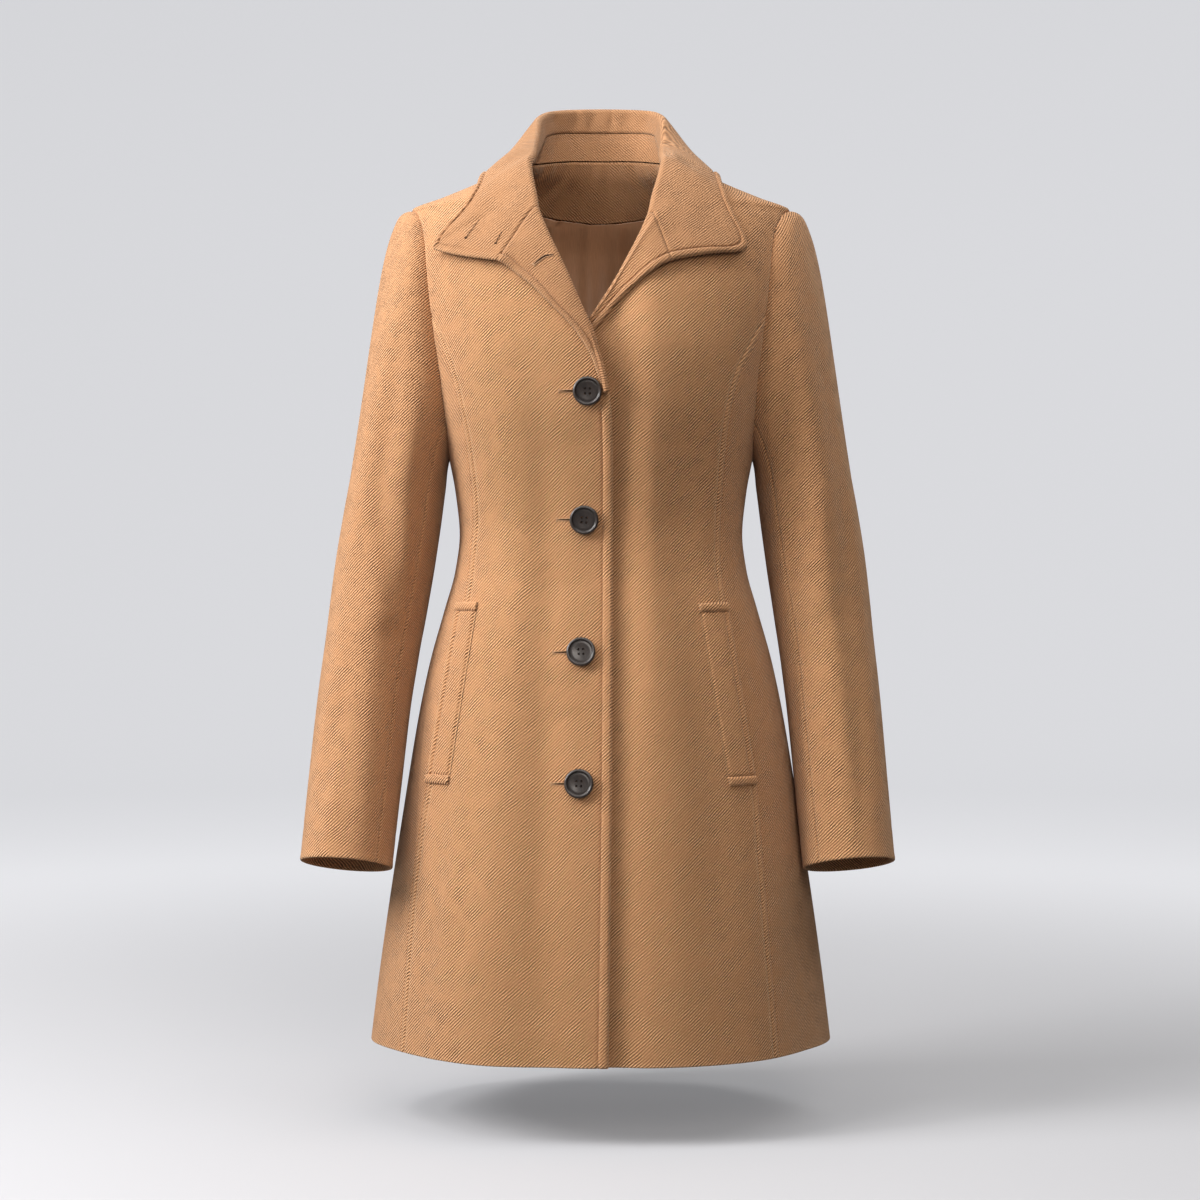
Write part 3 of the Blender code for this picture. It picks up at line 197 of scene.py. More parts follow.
# Rows are closest at the hem's edge and round the armholes' ends, columns at the seams.
BODY_ROWS = np.concatenate((
    HEM_HEIGHT + np.array((0, 0.25, 0.7, 1.3, 2.2, 4, 7)) * MM,
    HEM_HEIGHT + np.arange(11.5 * MM, UNDERARM_HEIGHT - HEM_HEIGHT - 2.5 * MM, 4.6 * MM),
    armhole_height(np.linspace(180, 0, 78)),
    np.linspace(SHOULDER_TIP_HEIGHT, NECK_POINT_HEIGHT, 19)[1:]))
SEAM_MARKS = np.array((0, 0.35, 0.8, 1.3, 2, 3, 4.5, 6.5)) * MM
STITCHED_MARKS = np.array((0, 0.35, 0.8, 1.3, 2, 3.2, 4.4, 5.2, 5.7, 6.2, 6.7, 7.2, 8, 9.5)) * MM
STITCH_DISTANCE = 6.2 * MM
HALF_SEAM_GAP = -0.1 * MM


def lengths_along(line):
    """How far along a line of points each of them lies."""
    return np.concatenate(([0.0], np.linalg.norm(np.diff(line, axis=0), axis=1).cumsum()))


def columns_between(side, inner, outer, z, inner_marks, outer_marks, middle):
    """Angles of a panel's grid: rows by columns set at the marks' distances from both seams."""
    ends, marks = (inner, outer), (inner_marks, outer_marks)
    if side == "right":
        ends, marks = ends[::-1], marks[::-1]
    angles = ends[0][:, None] + (ends[1] - ends[0])[:, None] * np.linspace(0, 1, 33)
    grid = []
    for row, points in enumerate(form(angles, z[:, None])):
        length = lengths_along(points)
        squeeze = min(1.0, 0.45 * length[-1] / (max(marks[0][-1], marks[1][-1]) + HALF_SEAM_GAP))
        start = (HALF_SEAM_GAP + marks[0]) * squeeze
        end = length[-1] - (HALF_SEAM_GAP + marks[1][::-1]) * squeeze
        between = np.linspace(start[-1], end[0], middle + 2)[1:-1]
        grid.append(np.interp(np.concatenate((start, between, end)), length, angles[row]))
    return np.array(grid)


def cloth_lie(angle, z, from_angle):
    """Length along the level ring from a fixed angle, and the height, for the lie of the weave."""
    total, before = np.zeros(angle.shape), form(np.full(angle.shape, from_angle), z)
    for share in np.linspace(0, 1, 41)[1:]:
        here = form(from_angle + (angle - from_angle) * share, z)
        total += np.linalg.norm(here - before, axis=-1)
        before = here
    return np.stack((total * np.sign(angle - from_angle), z), -1)


def distance_to_line(points, line):
    """Distance of each point to a line of points, and how far along the line it is nearest."""
    flat, starts, spans = points.reshape(-1, 3), line[:-1], np.diff(line, axis=0)
    lengths, along_start = np.linalg.norm(spans, axis=1), lengths_along(line)
    best, place = np.empty(len(flat)), np.empty(len(flat))
    for low in range(0, len(flat), 4000):
        part = flat[low:low + 4000, None, :] - starts
        t = np.clip((part * spans).sum(-1) / np.maximum(lengths ** 2, 1e-14), 0.0, 1.0)
        gap = np.linalg.norm(part - t[..., None] * spans, axis=-1)
        k = gap.argmin(1)
        best[low:low + 4000] = gap[np.arange(len(k)), k]
        place[low:low + 4000] = along_start[k] + t[np.arange(len(k)), k] * lengths[k]
    return best.reshape(points.shape[:-1]), place.reshape(points.shape[:-1])


def seam_dip(distance, place, stitched=False):
    """The groove where two pieces are sewn together, with the dent of a topstitch beside it."""
    d = distance / MM
    pucker = 0.10 * np.sin(place / (4.3 * MM)) + 0.08 * np.sin(place / (11.7 * MM) + 1.3)
    dip = -0.95 * swell(d, 1.1) - 0.30 * swell(d, 3.4) + pucker * swell(d, 5.0)
    if stitched:
        dip += 0.35 * swell(d - 3.4, 1.7) - 0.60 * swell(d - STITCH_DISTANCE / MM, 0.75)
    return dip * MM


def rolled_half(distance, thickness):
    """Half the cloth's thickness near a free edge, which closes in a half circle."""
    near = np.clip(distance / (thickness / 2), 0.0, 1.0)
    return thickness / 2 * np.sqrt(np.maximum(1 - (1 - near) ** 2, 0.0))


def add_piece(name, points, faces, lie, wear=None, smooth=True):
    """Puts a mesh in the scene with the place of its weave and of its rubbed edges."""
    mesh = bpy.data.meshes.new(name)
    mesh.from_pydata(points, [], faces)
    place = mesh.attributes.new("cloth_place", "FLOAT_VECTOR", "POINT")
    place.data.foreach_set("vector", np.array(lie, np.float32).ravel())
    if wear is not None:
        worn = mesh.attributes.new("edge_wear", "FLOAT", "POINT")
        worn.data.foreach_set("value", np.array(wear, np.float32))
    if smooth:
        mesh.shade_smooth()
    piece = bpy.data.objects.new(name, mesh)
    bpy.context.scene.collection.objects.link(piece)
    return piece


def shell(name, outer, inner, place, wear, closed=False):
    """A thin closed shell between an outer and an inner grid of points."""
    count = wear.size
    index = np.arange(count).reshape(wear.shape)
    if closed:
        index = np.concatenate((index, index[:, :1]), axis=1)
    a, b, c, d = index[:-1, :-1], index[:-1, 1:], index[1:, 1:], index[1:, :-1]
    faces = [np.stack(corners, -1).reshape(-1, 4) for corners in (
        (a, b, c, d), (a + count, d + count, c + count, b + count))]
    rims = [(index[0, 1:], index[0, :-1]), (index[-1, :-1], index[-1, 1:])]
    if not closed:
        rims += [(index[:-1, 0], index[1:, 0]), (index[1:, -1], index[:-1, -1])]
    faces += [np.stack((here, there, there + count, here + count), -1) for here, there in rims]
    lie = np.zeros((2, count, 3))
    lie[..., :2], lie[1, :, 2] = place.reshape(-1, 2), 1.0
    points = np.concatenate((outer.reshape(-1, 3), inner.reshape(-1, 3)))
    piece = add_piece(name, points.tolist(), np.concatenate(faces).tolist(), lie, np.tile(wear.ravel(), 2))
    shape = bmesh.new()
    shape.from_mesh(piece.data)
    bmesh.ops.remove_doubles(shape, verts=shape.verts, dist=0.004 * MM)
    bmesh.ops.dissolve_degenerate(shape, edges=shape.edges, dist=0.002 * MM)
    shape.to_mesh(piece.data)
    shape.free()
    return piece


# Shader nodes for the wool, and its groups: the twill's ribs, its brushed nap and uneven dye.
class Wire:
    """An output in a node tree that can be reckoned with like a number."""

    def __init__(self, tree, socket):
        self.tree, self.socket = tree, socket

    def math(self, operation, *others):
        return node(self.tree, "Math", self, *others, operation=operation)

    def __add__(self, other):
        return self.math("ADD", other)

    def __sub__(self, other):
        return self.math("SUBTRACT", other)

    def __mul__(self, other):
        return self.math("MULTIPLY", other)

    def __truediv__(self, other):
        return self.math("DIVIDE", other)

    def __pow__(self, other):
        return self.math("POWER", other)


def feed(made, values):
    """Links wires to a node's sockets, or sets plain values on them."""
    for socket, value in values.items():
        if isinstance(value, Wire):
            value.tree.links.new(value.socket, made.inputs[socket])
        else:
            made.inputs[socket].default_value = value


def node(tree, kind, *values, output=0, sockets=None, **settings):
    """Adds a shader node, feeds its sockets in their order or by name, and gives one output."""
    made = tree.nodes.new("ShaderNode" + kind)
    for setting, value in settings.items():
        setattr(made, setting, value)
    feed(made, dict(enumerate(values)))
    feed(made, sockets or {})
    return Wire(tree, made.outputs[output])


def mixed(tree, share, first, second, blend="MIX"):
    """Two colours mixed."""
    return node(tree, "Mix", sockets={0: share, 6: first, 7: second}, output=2, data_type="RGBA",
                blend_type=blend)


def ranged(value, low, high, to_low=0.0, to_high=1.0, kind="LINEAR"):
    """A value carried over from one range to another."""
    return node(value.tree, "MapRange", interpolation_type=kind, sockets={
        "Value": value, "From Min": low, "From Max": high, "To Min": to_low, "To Max": to_high})


def noise_at(place, scale, detail=2.0, roughness=0.5, stretch=None):
    """A noise value at a place in metres, stretched and turned if stretch gives (x, y, angle)."""
    if stretch:
        place = node(place.tree, "Mapping", vector_type="TEXTURE", sockets={
            "Vector": place, "Rotation": (0, 0, stretch[2]), "Scale": (*stretch[:2], 1.0)})
    return node(place.tree, "TexNoise", sockets={
        "Vector": place, "Scale": scale, "Detail": detail, "Roughness": roughness})


def new_group(name, inputs, outputs):
    """A shader node group with named sockets, and the wires of its inputs."""
    group = bpy.data.node_groups.new(name, "ShaderNodeTree")
    for socket, value in inputs.items():
        kind = "Vector" if value is None else "Color" if np.ndim(value) else "Float"
        made = group.interface.new_socket(name=socket, in_out="INPUT", socket_type="NodeSocket" + kind)
        if value is not None:
            made.default_value = value
    for socket, kind in outputs.items():
        group.interface.new_socket(name=socket, in_out="OUTPUT", socket_type="NodeSocket" + kind)
    start = group.nodes.new("NodeGroupInput")
    return group, [Wire(group, start.outputs[socket]) for socket in inputs]


def make_twill_group():
    """Diagonal ribs, each a row of short slanting yarns, wandering and broken by the brushing."""
    group, (place, pitch, angle, wander) = new_group(
        "Twill ribs", {"Place": None, "Rib pitch": 2.35 * MM, "Rib angle": math.radians(42),
                       "Wander": 0.5}, {"Height": "Float", "Shade": "Float"})

    def rib_set(turn_sign):
        turned = node(group, "VectorRotate", sockets={"Vector": place, "Angle": angle * -turn_sign},
                      rotation_type="Z_AXIS")
        along, across = (node(group, "SeparateXYZ", turned, output=axis) / pitch for axis in (0, 1))
        across = across + (noise_at(place, 34.0) * 2.6 + noise_at(place, 260.0, 1.0) * 0.5) * wander
        rib = ((across * math.tau).math("SINE") * 0.5 + 0.5) ** 0.8
        row = (across + 0.25).math("FLOOR") * 0.37
        return rib * (((along * 0.55 + row) * math.tau).math("SINE") * 0.10 + 0.90)

    main, crossing = rib_set(1.0), rib_set(-1.15)
    patch = ranged(noise_at(place, 70.0, 2.0, 0.55), 0.56, 0.76, 0.0, 0.28, "SMOOTHSTEP")
    streak = ranged(noise_at(place, 430.0, 2.0, 0.55, (6.0, 1.0, math.radians(42))), 0.32, 0.60, 0.60)
    brushed = ranged(noise_at(place, 58.0, 3.0, 0.6), 0.36, 0.60, 0.42)
    height = (main + patch * (crossing - main) - 0.5) * (streak * brushed) + 0.45
    feed(group.nodes.new("NodeGroupOutput"), {"Height": height, "Shade": height - 0.47})
    return group


def make_nap_group():
    """Short brushed fibres over the weave: fine slanting streaks and loose flecks."""
    group, (place, flecks) = new_group("Brushed nap", {"Place": None, "Flecks": 0.5},
                                       {"Height": "Float", "Shade": "Float"})
    streaks = noise_at(place, 800.0, 2.0, 0.6, (3.6, 1.0, math.radians(44)))
    fluff, clumps = noise_at(place, 1500.0, 2.0, 0.7), noise_at(place, 330.0, 3.0, 0.6)
    feed(group.nodes.new("NodeGroupOutput"), {
        "Height": streaks * 0.5 + fluff * 0.35 + clumps * 0.5,
        "Shade": streaks - 0.5 + (fluff - 0.5) * flecks})
    return group


def make_dye_group():
    """Uneven depth of colour over the cloth, with lighter rubbed edges and seams."""
    group, (place, colour, light, dark, rubbed) = new_group("Uneven dye", {
        "Place": None, "Colour": (0.5, 0.3, 0.15, 1), "Light colour": (0.6, 0.4, 0.2, 1),
        "Dark colour": (0.4, 0.2, 0.1, 1), "Rubbed": 0.0}, {"Colour": "Color"})
    broad, fine = noise_at(place, 11.0) * 1.6 + -0.3, noise_at(place, 75.0, 3.0, 0.6) * 1.8 + -0.4
    dyed = mixed(group, fine * 0.10, mixed(group, broad * 0.22, colour, dark), light)
    feed(group.nodes.new("NodeGroupOutput"), {"Colour": mixed(group, rubbed * 0.35, dyed, light)})
    return group


twill_group, nap_group, dye_group = make_twill_group(), make_nap_group(), make_dye_group()


def placed_group(tree, group, values, *outputs):
    """A group node in a material, fed by its socket names."""
    made = tree.nodes.new("ShaderNodeGroup")
    made.node_tree = group
    feed(made, values)
    return [Wire(tree, made.outputs[output]) for output in outputs]


def new_material(name, colour, finish):
    """A material, its shader with the finish set on it, and its cloth coordinates."""
    material = bpy.data.materials.new(name)
    material.use_nodes = True
    material.diffuse_color = colour
    shader = material.node_tree.nodes["Principled BSDF"]
    feed(shader, finish)
    lie = node(material.node_tree, "Attribute", output="Vector", attribute_name="cloth_place")
    return material, material.node_tree, shader, lie


def raised(height, strength, depth):
    """The surface raised by a height."""
    return node(height.tree, "Bump", sockets={"Strength": strength, "Distance": depth, "Height": height})


def wool_cloth(name, colour, light, dark, rib_shade, rib_height, wander, pitch=2.35 * MM):
    """Brushed wool twill: coloured ribs under a soft nap, dull, with a warm sheen."""
    material, tree, shader, lie = new_material(name, colour, {
        "Roughness": 0.92, "Specular IOR Level": 0.22, "Sheen Weight": 0.30, "Sheen Roughness": 0.45,
        "Sheen Tint": (1.0, 0.84, 0.66, 1.0)})
    worn = node(tree, "Attribute", output="Fac", attribute_name="edge_wear")
    rib_tone, rib_rise = placed_group(
        tree, twill_group, {"Place": lie, "Wander": wander, "Rib pitch": pitch}, "Shade", "Height")
    nap_tone, nap_rise = placed_group(tree, nap_group, {"Place": lie, "Flecks": 0.8}, "Shade", "Height")
    dyed, = placed_group(tree, dye_group, {
        "Place": lie, "Rubbed": worn, "Colour": colour, "Light colour": light, "Dark colour": dark},
        "Colour")
    level = rib_tone * rib_shade + nap_tone * 0.32 + 1.0
    tint = node(tree, "CombineColor", *(level ** power for power in (1.0, 1.12, 1.3)))
    feed(shader, {"Base Color": mixed(tree, 1.0, dyed, tint, "MULTIPLY"),
                  "Normal": raised(rib_rise * rib_height + nap_rise * 0.55, 0.85, 0.7 * MM)})
    return material


coat_wool = wool_cloth("coat_wool", (0.475, 0.241, 0.114, 1.0), (0.60, 0.355, 0.185, 1.0),
                       (0.365, 0.165, 0.068, 1.0), 1.75, 1.90, 0.45)
WOOL_SLOT = "camel wool twill"


def dress(piece, material, *nodes, slot=WOOL_SLOT):
    """Gives a piece its material and its body, and hides the solids it stands for; slot is not used."""
    piece.data.materials.append(material)
    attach(piece, "root")
    if nodes:
        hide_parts(*nodes)
    return piece


def off(points, normals, distance):
    """Points moved off the form along its outward directions."""
    return points + normals * distance[..., None]


def panel(name, z, angles, seams, edges, level=None, relief=None, from_angle=0.0, turned_edge=None):
    """A cloth panel on the form. seams are (line, stitched) pairs, edges are free edge lines."""
    heights = np.broadcast_to(z[:, None], angles.shape)
    if level is not None:
        share = np.clip((heights - SHOULDER_TIP_HEIGHT) / (z[-1] - SHOULDER_TIP_HEIGHT), 0.0, 1.0)
        risen = SHOULDER_TIP_HEIGHT + share * (level(angles) - SHOULDER_TIP_HEIGHT)
        heights = np.where(heights > SHOULDER_TIP_HEIGHT, risen, heights)
    points, normals = form(angles, heights), form_normal(angles, heights)
    lift = creases(angles, heights)
    if relief is not None:
        lift = lift + relief(points, heights)
    dip, worn = np.zeros(angles.shape), np.zeros(angles.shape)
    for line, stitched in seams:
        distance, along = distance_to_line(points, line)
        dip += seam_dip(distance, along, stitched)
        worn = np.maximum(worn, swell(distance - 2.2 * MM, 1.6 * MM))
    thickness = np.full(angles.shape, WOOL_THICKNESS)
    if turned_edge is not None:
        line, width, gain = turned_edge
        distance, _ = distance_to_line(points, line)
        thickness = thickness + gain * (1 - gentle(distance, width - 1 * MM, width + 4 * MM))
    half = thickness / 2
    for line in edges:
        distance, _ = distance_to_line(points, line)
        half = np.minimum(half, rolled_half(distance, thickness))
        worn = np.maximum(worn, swell(distance, 2.5 * MM))
    middle = lift - thickness / 2
    outer, inner = off(points, normals, middle + half + dip), off(points, normals, middle - half)
    return shell(name, outer, inner, cloth_lie(angles, heights, from_angle), worn), outer, normals


ARMHOLE_LINE = armhole_height(np.linspace(180, 0, 160))
SHOULDER_LINE = np.linspace(SHOULDER_TIP_HEIGHT, NECK_POINT_HEIGHT, 30)
side_seam = {side: form(sign * math.pi / 2, np.linspace(HEM_HEIGHT, UNDERARM_HEIGHT, 240))
             for side, sign in SIDES.items()}
back_armhole, front_armhole = ({side: form(armhole_angle(ARMHOLE_LINE, side, face), ARMHOLE_LINE)
                                for side in SIDES} for face in (1, -1))
shoulder_seam = {side: form(sign * math.pi / 2, SHOULDER_LINE) for side, sign in SIDES.items()}
hem_line = form(np.linspace(-math.pi, math.pi, 500), HEM_HEIGHT)
centre_back_line = form(math.pi, np.linspace(HEM_HEIGHT, BACK_NECK_HEIGHT, 300))


def outer_back_angle(z, side):
    """The outer boundary of the back: side seam, armhole, then shoulder seam."""
    in_armhole = (z > UNDERARM_HEIGHT) & (z < SHOULDER_TIP_HEIGHT)
    return np.where(in_armhole, armhole_angle(z, side, 1), SIDES[side] * math.pi / 2)


for side in SIDES:
    # From the outer seam to the centre on the left, and on from the centre on the right.
    outer_seam = outer_back_angle(BODY_ROWS, side) + (math.tau if side == "right" else 0.0)
    back_grid = columns_between(side, outer_seam, np.full(len(BODY_ROWS), math.pi), BODY_ROWS,
                                SEAM_MARKS, SEAM_MARKS, 42)
    back, _, _ = panel(
        "back_" + side + "_cloth", BODY_ROWS, back_grid,
        ((centre_back_line, False), (side_seam[side], False), (back_armhole[side], False),
         (shoulder_seam[side], False)), (hem_line,), level=back_neck_top, from_angle=math.pi)
    dress(back, coat_wool, "back_" + side)

# ---------------------------------------------------------------- side fronts
# The narrow panels between the princess seams and the side seams, of the same twill. Each is
# sewn to its front with the seam turned outwards and topstitched 6 mm from it.
PRINCESS_SEAMS = {
    "right": ((-866, -199.5), (-756, -192), (-681, -184), (-602, -171), (-500, -149), (-414, -132),
              (-373, -127.3), (-338, -124.4), (-312, -125.2), (-262, -130.7), (-230, -137),
              (-195, -145), (-158, -160), (-129.6, -174)),
    "left": ((-866, 171), (-756, 163.5), (-681, 157.5), (-602, 151), (-500, 133.5), (-417, 119.5),
             (-377, 116), (-338, 116), (-312, 117), (-262, 120.3), (-230, 124.3), (-195, 132.5),
             (-158, 148), (-129.6, 163.5)),
}
PRINCESS_TOP, PRINCESS_BENDS = float(armhole_height(85.0)), -200 * MM


def tabled_angle(table, z):
    """The angle of a tabled seam or edge (height, across in mm) at each height."""
    heights, across = np.array(table).T * MM
    return front_angle(curve_through(heights, across)(z), z)


def princess_angle(z, side):
    """The princess seam, drawn to meet the armhole where it begins."""
    table, top = PRINCESS_SEAMS[side], np.array(PRINCESS_TOP)
    miss = armhole_angle(top, side, -1) - tabled_angle(table, top)
    return tabled_angle(table, z) + miss * gentle(z, PRINCESS_BENDS, PRINCESS_TOP)


PRINCESS_HEIGHTS = np.linspace(HEM_HEIGHT, PRINCESS_TOP, 330)
princess_line = {side: form(princess_angle(PRINCESS_HEIGHTS, side), PRINCESS_HEIGHTS) for side in SIDES}
SIDE_ROWS = np.append(BODY_ROWS[BODY_ROWS < PRINCESS_TOP - 1.6 * MM], PRINCESS_TOP - 1.5 * MM)


def darker(colour, share):
    return tuple(share * value for value in colour[:3]) + (1.0,)


def thread_material(name, colour):
    """Twisted polyester thread: fine slanting strands, a little glossy."""
    material, tree, shader, lie = new_material(name, colour, {"Roughness": 0.55, "Sheen Weight": 0.2})
    along, around = (node(tree, "SeparateXYZ", lie, output=axis) for axis in (0, 1))
    strand = (along * 2600.0 + around).math("SINE") * 0.5 + 0.5
    feed(shader, {"Base Color": mixed(tree, strand, darker(colour, 0.82), colour),
                  "Normal": raised(strand, 0.4, 0.1 * MM)})
    return material


camel_thread = thread_material("camel_thread", (0.40, 0.215, 0.105, 1.0))
STITCH_STATIONS, STITCH_ROUNDS = np.array((-0.5, -0.36, 0.0, 0.36, 0.5)), 6


def point_at(track, lengths, distance):
    """The point of a track at a distance along it."""
    return np.stack([np.interp(distance, lengths, track[:, axis]) for axis in range(3)], -1)


def stitches(name, runs, material, pitch=3.6 * MM, length=3.1 * MM, radius=0.30 * MM, sink=0.0):
    """Rows of thread stitches along runs of (points, normals), joined in one piece."""
    rise = np.array((-1.1, -0.1, 0.35, -0.1, -1.1)) * radius - sink
    girth = np.array((0.35, 0.85, 1.0, 0.85, 0.35))[:, None, None] * radius
    turn = np.linspace(0, math.tau, STITCH_ROUNDS, endpoint=False)
    pattern = [(i + j, i + j + 6, i + (j + 1) % 6 + 6, i + (j + 1) % 6)
               for i in range(0, 24, 6) for j in range(6)]
    pattern += [tuple(range(6)), tuple(range(29, 23, -1))]
    points, faces, places = [], [], []
    for line, normals in runs:
        lengths = lengths_along(line)
        long = length or np.linalg.norm(line[-1] - line[0])
        count = max(int(lengths[-1] / pitch), 1)
        for k in range(count):
            middle = (k + 0.5) * lengths[-1] / count
            centre = point_at(line, lengths, middle + STITCH_STATIONS * long)
            up = unit(point_at(normals, lengths, middle))
            aside = unit(np.cross(up, unit(centre[-1] - centre[0])))
            ring = (centre + up * rise[:, None])[:, None] + girth * (
                aside * np.cos(turn)[None, :, None] + up * np.sin(turn)[None, :, None])
            faces += [tuple(corner + len(points) for corner in face) for face in pattern]
            points += ring.reshape(-1, 3).tolist()
            places += [(station * long, angle, 0.0) for station in STITCH_STATIONS for angle in turn]
    return dress(add_piece(name, points, faces, places), material)


for side, sign in SIDES.items():
    in_armhole = SIDE_ROWS > UNDERARM_HEIGHT
    outer_seam = np.where(in_armhole, armhole_angle(SIDE_ROWS, side, -1), sign * math.pi / 2)
    grid = columns_between(side, princess_angle(SIDE_ROWS, side), outer_seam, SIDE_ROWS,
                           STITCHED_MARKS, SEAM_MARKS, 16)
    piece, outer, normals = panel(
        "side_front_" + side + "_cloth", SIDE_ROWS, grid,
        ((princess_line[side], True), (side_seam[side], False), (front_armhole[side], False)),
        (hem_line,))
    dress(piece, coat_wool, "side_front_" + side)
    "front_" + side + "_cloth"
    0.055 if side == "right" else 0.072
    mark = int(np.argmin(np.abs(STITCHED_MARKS - STITCH_DISTANCE)))
    column = mark if side == "left" else grid.shape[1] - 1 - mark
    sewn = slice(2, int(len(SIDE_ROWS) * 0.93))
    stitches("side_front_" + side + "_topstitching", ((outer[sewn, column], normals[sewn, column]),),
             camel_thread, radius=0.27 * MM)

# ---------------------------------------------------------------- fronts
# The two fronts from the princess seams to the lap. The wearer's right one laps over the left;
# its edge is turned over an inner layer, so it is thick and round, and topstitched 10 mm inside.
FRONT_EDGES = {
    "right": ((-866, 7), (-553, 10.7), (-300, 11.6), (-247, 10.8), (-218, 8.6), (-190.6, -1.2),
              (-157, -11.5), (-123, -26), (-100, -36), (-74, -48), (-52, -58), (-34, -64.5),
              (-20, -68.5), (0, -72.5), (20, -75.5), (34, -76)),
    "left": ((-866, -44), (-553, -47), (-300, -48), (-247, -48), (-218, -47.5), (-190.6, -37),
             (-165, -21.5), (-142, -7), (-120, 7), (-99, 19), (-75, 33), (-48, 47.5), (-33, 53.5),
             (-20, 57), (0, 63.5), (20, 70), (34, 75)),
}
LAP_STARTS, LAP_FULL = 52 * MM, 11 * MM
LAP_DEPTH, LAPEL_LAP_DEPTH = 7.6 * MM, 11.4 * MM
LAPEL_LAP_STARTS, LAPEL_FOOT = -290 * MM, -214 * MM
LAP_STITCH_DISTANCE = 10 * MM
LAP_MARKS = np.array((0, 0.25, 0.7, 1.3, 2.1, 3.2, 4.8, 6.6, 8.2, 9, 9.5, 10, 10.5, 11, 11.8, 13, 15)) * MM
BUTTON_HOLLOWS = ((-270, 34, -1.7), (-398, 40, -1.6), (-527, 38, -1.5))


def lap_depth(x, z):
    """How far the left front lies in behind the right one."""
    upward = gentle(z, LAPEL_LAP_STARTS, LAPEL_FOOT)
    return gentle(x, LAP_STARTS, LAP_FULL) * (LAP_DEPTH + (LAPEL_LAP_DEPTH - LAP_DEPTH) * upward)


FRONT_LINE_HEIGHTS = np.linspace(HEM_HEIGHT, NECK_POINT_HEIGHT, 420)
front_edge_line = {side: form(tabled_angle(FRONT_EDGES[side], FRONT_LINE_HEIGHTS), FRONT_LINE_HEIGHTS)
                   for side in SIDES}


def folded_edge(distance, place, thickness_gain, stitch_distance):
    """Relief of a turned and topstitched edge: a soft raised band, then the stitches' dent."""
    d, at = distance / MM, stitch_distance / MM
    band = thickness_gain * gentle(d, 0.0, 2.5) * (1 - gentle(d, at - 2.4, at - 0.2))
    soft = 0.12 * np.sin(place / (8.3 * MM)) * swell(d - at / 2, 5.0)
    return (band - 1.05 * swell(d - at, 0.95) + soft) * MM


def right_front_relief(points, heights):
    """The lap's band and dent, and slight hollows between the buttons."""
    distance, along = distance_to_line(points, front_edge_line["right"])
    open_edge = 1 - gentle(heights, LAPEL_FOOT - 18 * MM, LAPEL_FOOT - 2 * MM)
    lift = folded_edge(distance, along, 1.7, LAP_STITCH_DISTANCE) * open_edge
    for height, width, depth in BUTTON_HOLLOWS:
        lift += depth * MM * swell(heights / MM - height, 30) * swell(points[..., 0] / MM + 30, width)
    return lift


def left_front_relief(points, heights):
    return -lap_depth(points[..., 0], heights)


front_cloth = {}
for side, relief, columns in (("right", right_front_relief, 34), ("left", left_front_relief, 40)):
    outer_seam = np.where(BODY_ROWS < PRINCESS_TOP, princess_angle(BODY_ROWS, side),
                          np.where(BODY_ROWS < SHOULDER_TIP_HEIGHT, armhole_angle(BODY_ROWS, side, -1),
                                   SIDES[side] * math.pi / 2))
    grid = columns_between(side, tabled_angle(FRONT_EDGES[side], BODY_ROWS), outer_seam, BODY_ROWS,
                           LAP_MARKS, SEAM_MARKS, columns)
    piece, outer, normals = panel(
        "front_" + side + "_cloth", BODY_ROWS, grid,
        ((princess_line[side], False), (front_armhole[side], False), (shoulder_seam[side], False)),
        (hem_line, front_edge_line[side]), relief=relief,
        turned_edge=(front_edge_line[side], LAP_STITCH_DISTANCE, 1.8 * MM) if side == "right" else None)
    dress(piece, coat_wool, "front_" + side)
    0.163 if side == "right" else 0.172
    front_cloth[side] = (outer, normals)

outer, normals = front_cloth["right"]
stitch_column = outer.shape[1] - 1 - int(np.argmin(np.abs(LAP_MARKS - LAP_STITCH_DISTANCE)))
below_lapel = np.nonzero(BODY_ROWS < LAPEL_FOOT - 4 * MM)[0][2:]
stitches("front_right_lap_topstitching",
         ((outer[below_lapel, stitch_column], normals[below_lapel, stitch_column]),), camel_thread)

# ---------------------------------------------------------------- pocket welts
# A stitched strip of the same twill on each front, slanting along the princess seam over the
# pocket's mouth. Its outer edge is topstitched and a short bar is sewn across at both ends.
# Height of each end, then its inner and outer edge, in mm.
POCKET_WELTS = {
    "right": ((-419, -122.5, -145), (-600, -151, -176)),
    "left": ((-419.5, 97.5, 126), (-600, 127.5, 154.5)),
}
WELT_GAP, WELT_THICKNESS = -0.5 * MM, 2.4 * MM
BAR_HEIGHT, WELT_STITCH = 9 * MM, 5 * MM
END_MARKS = np.array((0, 0.25, 0.6, 1.1, 2, 3.5, 5.5, 7.2, 8.2, 8.8, 9.4, 10, 11, 12.5)) * MM
WELT_MARKS = np.array((0, 0.25, 0.6, 1.1, 1.5, 1.9, 2.4, 3.2, 4.2, 4.6, 5, 5.4, 5.8, 6.8)) * MM
